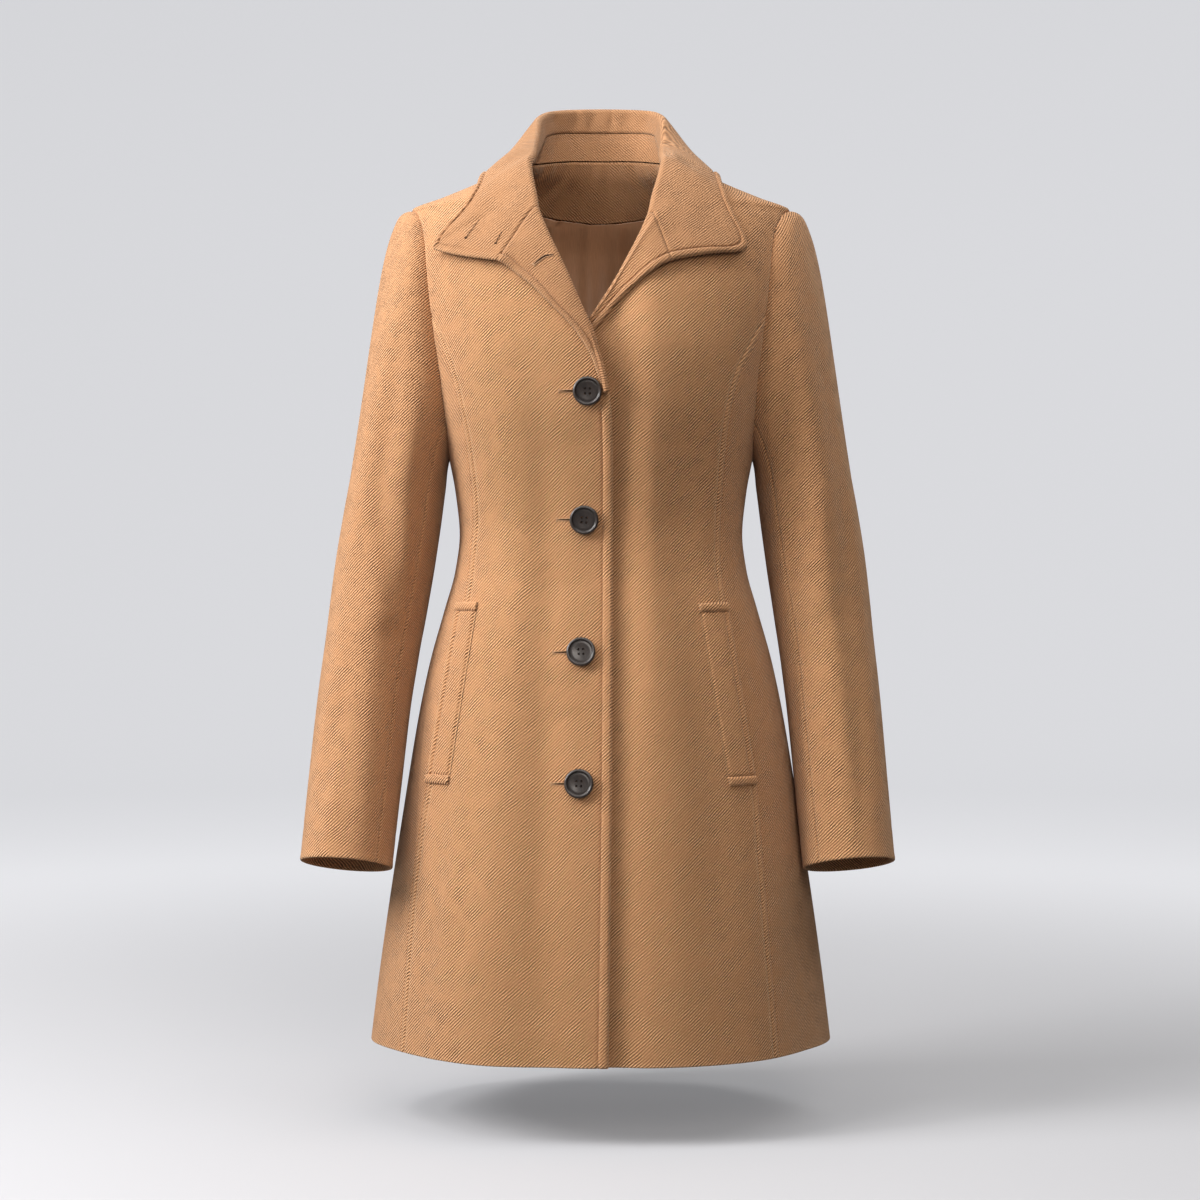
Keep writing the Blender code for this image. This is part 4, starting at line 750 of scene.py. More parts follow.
for side in SIDES:
    (top, top_in, top_out), (foot, foot_in, foot_out) = np.array(POCKET_WELTS[side]) * MM
    long = top - foot
    rows = np.concatenate((END_MARKS, np.linspace(15 * MM, long - 15 * MM, 44), long - END_MARKS[::-1]))
    share = rows / long
    edges = foot_in + (top_in - foot_in) * share, foot_out + (top_out - foot_out) * share
    low_edge, high_edge = np.minimum(*edges)[:, None], np.maximum(*edges)[:, None]
    wide = high_edge - low_edge
    x = np.concatenate((low_edge + WELT_MARKS, low_edge + WELT_MARKS[-1]
                        + (wide - 2 * WELT_MARKS[-1]) * np.linspace(0, 1, 8)[1:-1],
                        high_edge - WELT_MARKS[::-1]), axis=1)
    heights = np.broadcast_to((foot + rows)[:, None], x.shape)
    angles = front_angle(x, heights)
    points, normals = form(angles, heights), form_normal(angles, heights)
    from_low, from_high = x - low_edge, high_edge - x
    from_outer, from_inner = (from_high, from_low) if side == "left" else (from_low, from_high)
    from_end = np.minimum(heights - foot, top - heights)
    edge_gap = np.minimum(np.minimum(from_low, from_high), from_end)
    half = rolled_half(edge_gap, WELT_THICKNESS)
    in_bar = 1 - gentle(from_end, BAR_HEIGHT - 0.8 * MM, BAR_HEIGHT + 0.8 * MM)
    lift = 1.45 * in_bar * gentle(from_end, 0.0, 2.5 * MM) - 1.5 * swell(from_end - BAR_HEIGHT, MM)
    lift += (1 - in_bar) * (
        -1.6 * swell(from_inner - 1.7 * MM, 0.8 * MM) - 0.8 * (1 - gentle(from_inner, 0.8 * MM, 1.8 * MM))
        - 1.25 * swell(from_outer - WELT_STITCH, 0.95 * MM) + 0.60 * swell(from_outer - 2.6 * MM, 1.6 * MM))
    base = creases(angles, heights) + WELT_GAP + WELT_THICKNESS / 2
    outer = off(points, normals, base + half + lift * MM)
    welt = shell("pocket_welt_" + side + "_cloth", outer, off(points, normals, base - half),
                 cloth_lie(angles, heights, 0.0), swell(edge_gap, 2 * MM))
    dress(welt, coat_wool, "pocket_welt_" + side)
    "front_" + side + "_cloth"
    column = int(np.argmin(np.abs(WELT_MARKS - WELT_STITCH)))
    if side == "left":
        column = x.shape[1] - 1 - column
    bar_row = int(np.argmin(np.abs(END_MARKS - BAR_HEIGHT)))
    between_bars = slice(bar_row, -bar_row - 1)
    runs = [(outer[between_bars, column], normals[between_bars, column])]
    runs += [(outer[row, 3:-3], normals[row, 3:-3]) for row in (bar_row, len(rows) - 1 - bar_row)]
    stitches("pocket_welt_" + side + "_topstitching", runs, camel_thread, 3.2 * MM, 2.8 * MM, 0.27 * MM)

# ---------------------------------------------------------------- inside of the back
# A facing of the same wool lines the back of the neck down to a curved edge. Below it hangs a
# brown satin lining, sewn to the facing with small soft pleats that open further down.
FACING_SET_IN, FACING_THICKNESS = WOOL_THICKNESS + 1.1 * MM, 1.6 * MM
LINING_SET_IN, LINING_THICKNESS = WOOL_THICKNESS + 0.5 * MM, 1.1 * MM
LINING_HEM_HEIGHT = HEM_HEIGHT + 32 * MM
LINING_SHOULDER_EASE, LINING_TOP_RISE = 1.8 * MM, 32 * MM
LINING_SLOT = "satin lining"


def facing_edge(angle):
    """The height of the lower edge of the back neck facing."""
    return (-13.5 + 30.0 * np.abs(np.sin(angle)) ** 1.5) * MM


def inside_angles(z, columns):
    """Angles across both halves of the back, a little short of the side seams."""
    left, right = outer_back_angle(z, "left"), outer_back_angle(z, "right") + math.tau
    short = 3 * MM / np.linalg.norm(form(left, z)[:, :2], axis=1)
    return (left + short)[:, None] + (right - left - 2 * short)[:, None] * np.linspace(0, 1, columns)


# The softer, closer twill of the collar and the facings, coloured darker than the coat's wool as painted
# shade.
soft_wool_painted_darker = wool_cloth("collar_wool_painted_darker", (0.375, 0.188, 0.088, 1.0), (0.49, 0.290, 0.157, 1.0),
                       (0.295, 0.136, 0.060, 1.0), 1.15, 1.4, 0.9, pitch=2.2 * MM)
across_neck = inside_angles(np.array((NECK_POINT_HEIGHT,)), 120)[0]
neck_rows = np.concatenate((np.array((0, 0.01, 0.025, 0.05, 0.09)), np.linspace(0.15, 1.0, 18)))
low, high = facing_edge(across_neck), back_neck_top(across_neck) - 0.3 * MM
heights = low + (high - low) * neck_rows[:, None]
angles = np.broadcast_to(across_neck, heights.shape)
points, normals = form(angles, heights), form_normal(angles, heights)
half = rolled_half(heights - low, FACING_THICKNESS)
ripple = 0.7 * MM * (np.sin(angles * 17.0 + 1.1) + 0.6 * np.sin(angles * 31.0 + 30.0 * heights))
middle = ripple - (FACING_SET_IN + FACING_THICKNESS / 2)
facing = shell("back_neck_facing_cloth", off(points, normals, middle + half),
               off(points, normals, middle - half), cloth_lie(angles, heights, math.pi),
               swell(heights - low, 2 * MM))
dress(facing, soft_wool_painted_darker, "back_neck_facing")


def satin(name, colour, light, dark):
    """Lining satin: smooth and silky, with a fine thread and faint lengthwise streaks."""
    material, tree, shader, lie = new_material(name, colour, {
        "Anisotropic": 0.35, "Sheen Weight": 0.25, "Sheen Roughness": 0.35})
    dyed, = placed_group(tree, dye_group, {
        "Place": lie, "Colour": colour, "Light colour": light, "Dark colour": dark}, "Colour")
    streaks = noise_at(lie, 500.0, 2.0, 0.5, (0.35, 7.0, 0.0))
    shade = streaks * 0.5 + 0.75
    weave = noise_at(lie, 1400.0, 1.0, 0.5, (1.0, 4.0, 0.0))
    grey = node(tree, "CombineColor", shade, shade, shade)
    feed(shader, {"Base Color": mixed(tree, 1.0, dyed, grey, "MULTIPLY"),
                  "Roughness": streaks * 0.16 + 0.30,
                  "Normal": raised(weave + streaks, 0.25, 0.12 * MM)})
    return material


lining_satin = satin("lining_satin", (0.45, 0.235, 0.125, 1.0), (0.58, 0.345, 0.205, 1.0),
                     (0.31, 0.152, 0.076, 1.0))

# Pleats of the lining: angle (degrees), width (degrees) and depth (mm) at the facing.
LINING_PLEATS = (
    (196, 1.7, 3.8), (189.5, 2.6, -1.1), (184, 2.0, 4.2), (174.5, 1.8, 4.0), (168, 2.8, -1.2),
    (160, 2.2, 3.4), (150, 2.6, 2.4), (206, 2.8, 3.0), (216, 2.4, 2.2), (141, 2.6, -1.0),
    (228, 3.0, 2.0), (130, 3.0, 2.0),
)


def pleats(angles, heights):
    """How far the lining's pleats stand in towards the hollow."""
    turn, total = np.degrees(angles), np.zeros(angles.shape)
    drop = np.clip((facing_edge(angles) - heights) / (600 * MM), 0.0, 1.0)
    for centre, width, depth in LINING_PLEATS:
        total += depth * MM * (1 - 0.75 * drop ** 0.6) * swell(turn - centre, width * (1 + 3.0 * drop))
    return total + 0.5 * MM * np.sin(turn * 0.55 + heights / (55 * MM)) * drop


lining_rows = np.concatenate((
    LINING_HEM_HEIGHT + np.array((0.0, 0.3, 0.8, 2.0, 5.0)) * MM,
    np.arange(LINING_HEM_HEIGHT + 11 * MM, UNDERARM_HEIGHT - 3 * MM, 9 * MM),
    armhole_height(np.linspace(180, 0, 44)),
    np.linspace(SHOULDER_TIP_HEIGHT, SHOULDER_TIP_HEIGHT + LINING_TOP_RISE, 12)[1:]))
angles = inside_angles(lining_rows, 150)
heights = np.broadcast_to(lining_rows[:, None], angles.shape)
share = np.clip((heights - SHOULDER_TIP_HEIGHT) / LINING_TOP_RISE, 0.0, 1.0)
top_height = facing_edge(angles) - 0.3 * MM
heights = np.where(share > 0, SHOULDER_TIP_HEIGHT + share * (top_height - SHOULDER_TIP_HEIGHT), heights)
points, normals = form(angles, heights), form_normal(angles, heights)
set_in = LINING_SET_IN + LINING_SHOULDER_EASE * gentle(lining_rows, -50 * MM, -15 * MM)[:, None]
set_in = set_in + np.maximum(pleats(angles, heights), 0.0) + 0.3 * MM
lining = shell("back_lining_cloth", off(points, normals, -set_in),
               off(points, normals, -set_in - LINING_THICKNESS), cloth_lie(angles, heights, math.pi),
               np.zeros(angles.shape))
dress(lining, lining_satin, "back_lining", slot=LINING_SLOT)

# ---------------------------------------------------------------- collar and lapels
# A double layer of softer wool turned over round the neck: the lapels, cut in one with the
# front facings, then the collar, sewn to them at the gorge seams. The outer edges are turned
# under and topstitched.
ON_FRONT = math.nan
# Rows from the right lapel's foot round the neck to the left one's: the crest (x, y, z), the
# free edge (x, y, z) and the stand's height, in mm.
RIGHT_LAPEL = (
    (5.6, ON_FRONT, -214, 4.6, ON_FRONT, -214, 6), (4.6, ON_FRONT, -208, 1.6, ON_FRONT, -208, 9),
    (3.6, ON_FRONT, -199, -3, ON_FRONT, -199, 9), (0.8, ON_FRONT, -184, -9, ON_FRONT, -181.5, 12),
    (-5.8, ON_FRONT, -157, -25, ON_FRONT, -155, 18), (-20.5, ON_FRONT, -123.4, -54.7, ON_FRONT, -123, 20),
    (-30.3, ON_FRONT, -100, -66.5, ON_FRONT, -110.7, 20),
    (-42.2, ON_FRONT, -73.6, -81.4, ON_FRONT, -98.5, 20),
    (-52.2, ON_FRONT, -51.7, -91, ON_FRONT, -90.5, 20),
)
COLLAR = (
    (-61, ON_FRONT, -28, -99.5, ON_FRONT, -85.5, 20), (-62.3, ON_FRONT, -22, -127.6, ON_FRONT, -79.8, 18),
    (-62.8, ON_FRONT, -18, -148.3, ON_FRONT, -74, 17), (-63.4, ON_FRONT, -14.5, -162, ON_FRONT, -67.5, 16),
    (-65, ON_FRONT, -6, -158, ON_FRONT, -57, 15), (-67.5, ON_FRONT, 6, -145.5, ON_FRONT, -38.5, 14),
    (-70.5, ON_FRONT, 27, -132.5, ON_FRONT, -22.6, 12), (-70, -12, 46, -125.6, ON_FRONT, -5.6, 11),
    (-68.5, 11, 64, -120.5, -12, 12, 17), (-67.5, 34, 84, -113, 38, 17, 21),
    (-57, 60, 98, -86, 68, 20, 24), (-32, 79, 104.5, -45, 86, 25, 26), (0, 84, 106, 0, 91, 27, 27),
    (32, 79, 104.5, 45, 86, 26, 26), (56.5, 60, 98.5, 86, 68, 22, 24), (66.5, 34, 85, 112, 38, 20, 21),
    (66.5, 11, 64.5, 121.5, 4, 19, 17), (64, -12, 46, 122, -40, 5, 11),
    (61, ON_FRONT, 27, 125.2, ON_FRONT, -15.9, 12), (55.5, ON_FRONT, 4, 132.5, ON_FRONT, -36, 14),
    (51, ON_FRONT, -11, 140.5, ON_FRONT, -57.5, 15), (49, ON_FRONT, -20, 142.2, ON_FRONT, -67, 16),
    (48.3, ON_FRONT, -24, 134, ON_FRONT, -73, 17), (47.5, ON_FRONT, -27.5, 109.5, ON_FRONT, -76.5, 18),
    (46, ON_FRONT, -33.5, 68, ON_FRONT, -86, 20),
)
LEFT_LAPEL = (
    (40.4, ON_FRONT, -47.7, 50.9, ON_FRONT, -95, 20), (26.5, ON_FRONT, -74.8, 33.2, ON_FRONT, -108.2, 20),
    (12.7, ON_FRONT, -99.3, 16.6, ON_FRONT, -123.4, 20), (-3, ON_FRONT, -125, 1.9, ON_FRONT, -142, 18),
    (-23, ON_FRONT, -157, -22, ON_FRONT, -171.5, 14), (-43, ON_FRONT, -190, -44, ON_FRONT, -202, 10),
)
TURN_ROWS = np.array(RIGHT_LAPEL + COLLAR + LEFT_LAPEL) * MM
RIGHT_GORGE_ROW, LEFT_GORGE_ROW = len(RIGHT_LAPEL), len(TURN_ROWS) - len(LEFT_LAPEL) - 1
MIDDLE_ROW = len(TURN_ROWS) // 2
FOLD_RADIUS, FOOT_FOLD_RADIUS, LEAF_BULGE = 5.3 * MM, 1.7 * MM, 3 * MM
COLLAR_THICKNESS, LEAF_GAP = 2.8 * MM, 1.3 * MM
LEAF_LIFT = LEAF_GAP + COLLAR_THICKNESS
ROLL_RISES_FROM, ROLL_RISES_TO = 27 * MM, 46 * MM
TURN_STEP = 2.6 * MM
COLLAR_STITCH_DISTANCE = 8.6 * MM
EDGE_MARKS = np.array((0, 0.2, 0.55, 1.1, 1.8, 2.8, 4.2, 5.8, 7, 7.7, 8.2, 8.6, 9, 9.5, 10.2, 11.5)) * MM
GORGE_MARKS = np.array((-4.2, -2.8, -1.7, -0.8, 0.0, 0.8, 1.7, 2.8, 4.2)) * MM
STAND_COUNT, ARC_COUNT = 7, 16
CREST_ROW, LEAF_ROW = STAND_COUNT + ARC_COUNT // 2, STAND_COUNT + ARC_COUNT


def above_form(points):
    """How high points stand above the form, with the outward direction there."""
    x, y, z = np.moveaxis(points, -1, 0)
    depth = np.where(y <= 0, form_front(z), form_back(z))
    angle = np.arctan2(x / form_half_width(z), -y / depth)
    outward = form_normal(angle, z)
    return ((points - form(angle, z)) * outward).sum(-1), outward


def on_front(x, z, lift, under_lap):
    """Points on the front of the form at x and z, lifted off it."""
    angle = front_angle(x, z)
    return off(form(angle, z), form_normal(angle, z), lift - np.where(under_lap, lap_depth(x, z), 0.0))


row_is_left = np.arange(len(TURN_ROWS)) >= MIDDLE_ROW
roll, edge, stand_height = TURN_ROWS[:, 0:3], TURN_ROWS[:, 3:6], TURN_ROWS[:, 6]
for line, lift in ((roll, -WOOL_THICKNESS / 2), (edge, LEAF_LIFT)):
    lying = np.isnan(line[:, 1])
    line[lying] = on_front(line[lying, 0], line[lying, 2], lift, row_is_left[lying])
for _ in range(4):
    above, outward = above_form(edge[~lying])
    edge[~lying] = off(edge[~lying], outward, np.maximum(LEAF_LIFT - above, 0.0))
row_steps = (np.linalg.norm(np.diff(roll, axis=0), axis=1)
             + 0.25 * np.linalg.norm(np.diff(edge, axis=0), axis=1))
row_places = np.concatenate(([0.0], row_steps.cumsum()))
roll_curve, edge_curve = ([curve_through(row_places, line[:, axis]) for axis in range(3)]
                          for line in (roll, edge))
stand_curve = curve_through(row_places, stand_height)

spots = []
for k, step in enumerate(row_steps):
    reach = max(np.linalg.norm(roll[k + 1] - roll[k]), np.linalg.norm(edge[k + 1] - edge[k]))
    steps = max(2, round(reach / TURN_STEP))
    spots.extend(row_places[k] + step * np.arange(steps) / steps)
spots.append(row_places[-1])
for gorge in row_places[[RIGHT_GORGE_ROW, LEFT_GORGE_ROW]]:
    spots = [spot for spot in spots if abs(spot - gorge) > 5.2 * MM] + list(gorge + GORGE_MARKS)
spots = np.array(sorted(spots))


def turned_section(spot):
    """One section of the turned cloth: up the stand, over the fold and down the leaf."""
    crest, free_edge = (np.array([curve(spot) for curve in curves]) for curves in (roll_curve, edge_curve))
    ahead = unit(np.array([curve(spot + 4 * MM) - curve(spot - 4 * MM) for curve in roll_curve]))
    left = spot > row_places[MIDDLE_ROW]
    outward = unit(np.array((crest[0] / 0.070, crest[1] / 0.085, 0.0)))
    if crest[2] < ROLL_RISES_TO:
        _, from_form = above_form(crest)
        outward = unit(outward + (from_form - outward) * gentle(crest[2], ROLL_RISES_TO, ROLL_RISES_FROM))
    outward = unit(outward - ahead * (outward @ ahead))
    upward = np.cross(ahead, outward)
    radius = FOLD_RADIUS
    if not left:
        radius += (FOOT_FOLD_RADIUS - FOLD_RADIUS) * gentle(crest[2], -172 * MM, LAPEL_FOOT)
    centre = crest - upward * radius
    reach = free_edge - centre
    last = max(math.pi / 2 + math.atan2(reach @ upward, reach @ outward), math.radians(2))
    inside = centre - outward * radius
    foot = inside - upward * max(stand_curve(spot) - radius, 4 * MM)
    if foot[2] < NECK_POINT_HEIGHT - 8 * MM:
        above, direction = above_form(foot)
        lap = lap_depth(foot[0], foot[2]) if left else 0.0
        foot = foot - direction * max(WOOL_THICKNESS + LEAF_LIFT + 0.3 * MM + lap + above, 0.0)
    stand = foot + (inside - foot) * np.linspace(0, 1, STAND_COUNT)[:, None]
    turns = (math.pi + (last - math.pi) * np.linspace(0, 1, ARC_COUNT + 1)[1:])[:, None]
    arc = centre + (outward * np.cos(turns) + upward * np.sin(turns)) * radius
    start, length = arc[-1], np.linalg.norm(free_edge - arc[-1])
    marks = length - EDGE_MARKS[::-1] * min(1.0, 0.6 * length / EDGE_MARKS[-1])
    t = (np.concatenate((np.linspace(0, marks[0], 24)[1:-1], marks)) / length)[:, None]
    bulge = unit(np.cross(ahead, free_edge - start)) * -LEAF_BULGE
    if bulge @ (outward + upward) < 0:
        bulge = -bulge
    fullness = gentle(np.linalg.norm(free_edge - crest), 10 * MM, 60 * MM) * 4 * t * (1 - t)
    leaf = start + (free_edge - start) * t + bulge * fullness
    # The corner of each leaf stands up a little from the coat.
    way, gorge = (-1, LEFT_GORGE_ROW) if left else (1, RIGHT_GORGE_ROW)
    behind, at_gorge, tip, past_tip = (row_places[gorge + step * way] for step in (-2, 0, 3, 5))
    lifted = (gentle(spot, at_gorge, tip) * gentle(spot, past_tip, tip)
              + gentle(spot, behind, at_gorge) * gentle(spot, tip, at_gorge))
    rise = (3.2 if left else 5.0) * MM * lifted * gentle(t[:, 0], 0.45, 1.0)
    return np.concatenate((stand, arc, leaf)), outward, upward, rise


turned, outwards, upwards, lifts = (np.stack(track) for track in zip(*map(turned_section, spots)))
turned, lifts = turned.transpose(1, 0, 2).copy(), lifts.T
left_side = spots > row_places[MIDDLE_ROW]


def softened(values, rounds):
    """Values over the grid, each blended with its neighbours again and again."""
    for _ in range(rounds):
        for axis in (0, 1):
            wide = np.pad(values, [(1, 1) if k == axis else (0, 0) for k in range(values.ndim)], "edge")
            values = values / 2 + (np.delete(wide, (-1, -2), axis) + np.delete(wide, (0, 1), axis)) / 4
    return values


# The leaves lie on the coat: they are lifted off it wherever they would sink in, softly.
leaf_rows = slice(LEAF_ROW, None)
for rounds in (24, 12, 6):
    leaves = turned[leaf_rows]
    above, outward = above_form(leaves)
    wanted = LEAF_LIFT - np.where(left_side, lap_depth(leaves[..., 0], leaves[..., 2]), 0.0)
    short = np.maximum(wanted - above, 0.0) * gentle(leaves[..., 2], 44 * MM, 24 * MM)
    for _ in range(3):
        wide = np.pad(short, 1, mode="edge")
        short = np.maximum.reduce([wide[1:-1, 1:-1], wide[:-2, 1:-1], wide[2:, 1:-1], wide[1:-1, :-2],
                                   wide[1:-1, 2:]])
    start = gentle(np.arange(len(leaves)), -1, 3)[:, None]
    turned[leaf_rows] = off(leaves, unit(softened(outward, 10)), softened(short, rounds) * start)
turned[leaf_rows] += unit(softened(above_form(turned[leaf_rows])[1], 10)) * lifts[..., None]


def grid_normals(grid):
    """Directions square to a grid of points, by rows and columns."""
    return unit(np.cross(np.gradient(grid, axis=1), np.gradient(grid, axis=0)))


turned_normals = grid_normals(turned)
if (turned_normals[LEAF_ROW + 10] * outwards).sum() < 0:
    turned_normals = -turned_normals

# Soft hollows of the leaves: x, z, half length, half width (mm), lean, depth (mm).
LEAF_HOLLOWS = (
    (-118, -42, 26, 9, 1.15, -1.0), (-84, -30, 22, 10, 0.9, 0.8), (-62, -84, 20, 8, 2.2, -0.7),
    (-34, -128, 22, 7, 2.1, 0.7), (112, -34, 24, 9, 2.0, -0.9), (84, -52, 22, 9, 2.4, 0.8),
    (30, -98, 18, 7, 0.9, -0.6), (-95, -62, 16, 8, 0.6, -0.6),
)
# Dimples of the collar's inner side under its crest: x and half width (mm), depth (mm).
CREST_DIMPLES = ((-47, 6.0, -1.5), (-26, 4.5, -1.9), (-9, 5.5, -1.3), (11, 4.0, -1.8), (27, 6.0, -1.4),
                 (46, 5.0, -1.7))

x, y, z = np.moveaxis(turned, -1, 0)
from_edge = np.concatenate((np.cumsum(np.linalg.norm(np.diff(turned, axis=0), axis=2)[::-1], axis=0)[::-1],
                            np.zeros((1, len(spots)))))
rows, columns = np.arange(len(turned))[:, None], np.arange(len(spots))
# The right leaf's lower edge, lifted a little off the front, is folded but not topstitched.
lower_leaf = (spots > row_places[RIGHT_GORGE_ROW]) & (spots < row_places[RIGHT_GORGE_ROW + 3])
stitched = np.where(lower_leaf, 0.0, 1.0) * gentle(spots, row_places[1], row_places[3])
gorge_columns = [int(np.argmin(np.abs(spots - row_places[row]))) for row in (RIGHT_GORGE_ROW, LEFT_GORGE_ROW)]
relief = folded_edge(from_edge, lengths_along(turned[-1]), 1.5, COLLAR_STITCH_DISTANCE) * stitched
soft_band = gentle(from_edge, 0.0, 2 * MM) * (1 - gentle(from_edge, 4 * MM, 9 * MM))
relief += 0.35 * MM * soft_band * (1 - stitched)
for column in gorge_columns:
    d = distance_to_line(turned, turned[STAND_COUNT:, column])[0] / MM
    relief += (-0.95 * swell(d, 1.15) + 0.35 * swell(d - 3.0, 1.8)) * MM
for hollow_x, hollow_z, long, wide, lean, depth in LEAF_HOLLOWS:
    dx, dz = x / MM - hollow_x, z / MM - hollow_z
    along, across = dx * math.cos(lean) + dz * math.sin(lean), dz * math.cos(lean) - dx * math.sin(lean)
    relief += depth * MM * swell(along, long) * swell(across, wide) * (y < 0)
relief *= gentle(rows, STAND_COUNT + 6, LEAF_ROW + 2) * gentle(columns, 0, 10)
under_crest = swell(z / MM - 91, 9) * (y > 0) * gentle(-rows, -STAND_COUNT - 9, -STAND_COUNT - 3)
for across, wide, depth in CREST_DIMPLES:
    relief += depth * MM * under_crest * swell(x / MM - across, wide)

on_side = np.where(left_side, 1.0, -1.0)
bearing = np.where(y > 0, np.arctan2(x, np.maximum(y, 1e-9)), on_side * math.pi / 2)
turned_place = np.stack((-0.09 * bearing + (x - on_side * 0.12) * gentle(-y, 0.0, 30 * MM), z), -1)
half = rolled_half(from_edge, COLLAR_THICKNESS)
turned_outer = off(turned, turned_normals, half + relief - COLLAR_THICKNESS / 2)
turned_inner = off(turned, turned_normals, -half - COLLAR_THICKNESS / 2)
# Name, first and last column, flat size, area and what it rests on.
TURNED_PIECES = (
    ("front_facing_right", 0, gorge_columns[0], (0.27, 0.075), 0.0108, "front_right_cloth"),
    ("collar", *gorge_columns, (0.66, 0.15), 0.060, "collar_stand_cloth"),
    ("front_facing_left", gorge_columns[1], len(spots) - 1, (0.20, 0.07), 0.0078, "front_left_cloth"),
)
for name, first, last, flat, area, under in TURNED_PIECES:
    part = slice(first, last + 1)
    outer, inner = turned_outer[:, part].copy(), turned_inner[:, part].copy()
    for grid in (outer, inner):
        if first > 0:
            grid[:, 0] += unit(grid[:, 1] - grid[:, 0]) * 0.12 * MM
        if last < len(spots) - 1:
            grid[:, -1] += unit(grid[:, -2] - grid[:, -1]) * 0.12 * MM
    piece = shell(name + "_cloth", outer, inner, turned_place[:, part], swell(from_edge[:, part], 2.6 * MM))
    dress(piece, soft_wool_painted_darker, name)
stitch_row = len(turned) - 1 - int(np.argmin(np.abs(EDGE_MARKS - COLLAR_STITCH_DISTANCE)))
sewn = np.nonzero(stitched > 0.5)[0]
stitches("collar_and_lapel_topstitching",
         [(turned_outer[stitch_row, run[1:-1]], turned_normals[stitch_row, run[1:-1]])
          for run in np.split(sewn, np.nonzero(np.diff(sewn) > 1)[0] + 1) if len(run) > 6],
         camel_thread, radius=0.28 * MM)

# ---------------------------------------------------------------- collar stand
# The upright band of the same wool between the neck seam and the collar, round the back of the
# neck. A double row of stitching holds it to the collar on the inside.
STAND_ENDS_HEIGHT = 60 * MM
STAND_STITCHES = (2.4 * MM, 6.4 * MM)
leaf_start = np.array([turned_section(spot)[0][[0, CREST_ROW]] for spot in spots])
behind = np.nonzero(leaf_start[:, 1, 2] > STAND_ENDS_HEIGHT - 4 * MM)[0]
crests, top_normals = turned[CREST_ROW, behind], turned_normals[0, behind]
tops = turned[0, behind] - upwards[behind] * 0.6 * MM
bearing = np.arctan2(crests[:, 0], -crests[:, 1])
z = np.where(np.cos(bearing) < 0, back_neck_top(bearing), NECK_POINT_HEIGHT)
foot_normals = unit(-form_normal(bearing, z) * (1, 1, 0))
feet = form(bearing, z) + foot_normals * COLLAR_THICKNESS + np.array((0, 0, 0.8 * MM))
share = np.concatenate(((0.0, 0.02, 0.05), np.linspace(0.1, 0.9, 15), (0.95, 0.98, 1.0)))[:, None, None]
points = feet + (tops - feet) * share
normals = unit(foot_normals + (top_normals - foot_normals) * share)
from_top = np.linalg.norm(points - tops, axis=-1)
dent = -0.45 * MM * sum(swell(from_top - distance, 0.8 * MM) for distance in STAND_STITCHES)
ripple = 0.35 * MM * np.sin(bearing * 19.0) * np.sin(share[..., 0] * math.pi)
outer = off(points, normals, dent + ripple)
place = np.stack((-np.arctan2(points[..., 0], points[..., 1]) * 0.075, points[..., 2]), -1)
stand = shell("collar_stand_cloth", outer, off(points, normals, ripple - COLLAR_THICKNESS), place,
              np.zeros(from_top.shape))
dress(stand, soft_wool_painted_darker, "collar_stand")
stitch_rows = [int(np.argmin(np.abs(from_top.mean(axis=1) - distance))) for distance in STAND_STITCHES]
stitches("collar_stand_topstitching", [(outer[row, 2:-2], normals[row, 2:-2]) for row in stitch_rows],
         camel_thread, radius=0.26 * MM)

# ---------------------------------------------------------------- sleeves
# Two-piece sleeves of the same twill, set into the armholes and filled out as if by an arm: a
# wide top sleeve and a narrow under sleeve, seamed down the forearm and behind the elbow. The
# cuff is turned up inside, so its edge is round. Height, out, forward, half width, half depth, mm.
SLEEVE_SECTIONS = np.array((
    (-300, 209.5, 4, 49.2, 65), (-338, 215.5, 4, 50.3, 64.5), (-376, 221.2, 2, 50.7, 63),
    (-417, 226.8, -2, 50, 61), (-458, 231.8, -8, 48.9, 59), (-520, 239.1, -20, 47.9, 56),
    (-602, 246.2, -38, 47, 53), (-683, 252.6, -58, 46.2, 50),
)) * MM
SLEEVE_SIDE_SHIFT = {"right": 3.4 * MM, "left": -3.4 * MM}
SLEEVE_TOP, CUFF_HEIGHT = -300 * MM, -683 * MM
SLEEVE_HEAD_FULLNESS = 30 * MM
FRONT_SLEEVE_SEAM, BACK_SLEEVE_SEAM = 136.0, 238.0
sleeve_out, sleeve_forward, sleeve_wide, sleeve_deep = (
    curve_through(-SLEEVE_SECTIONS[:, 0], SLEEVE_SECTIONS[:, k]) for k in range(1, 5))
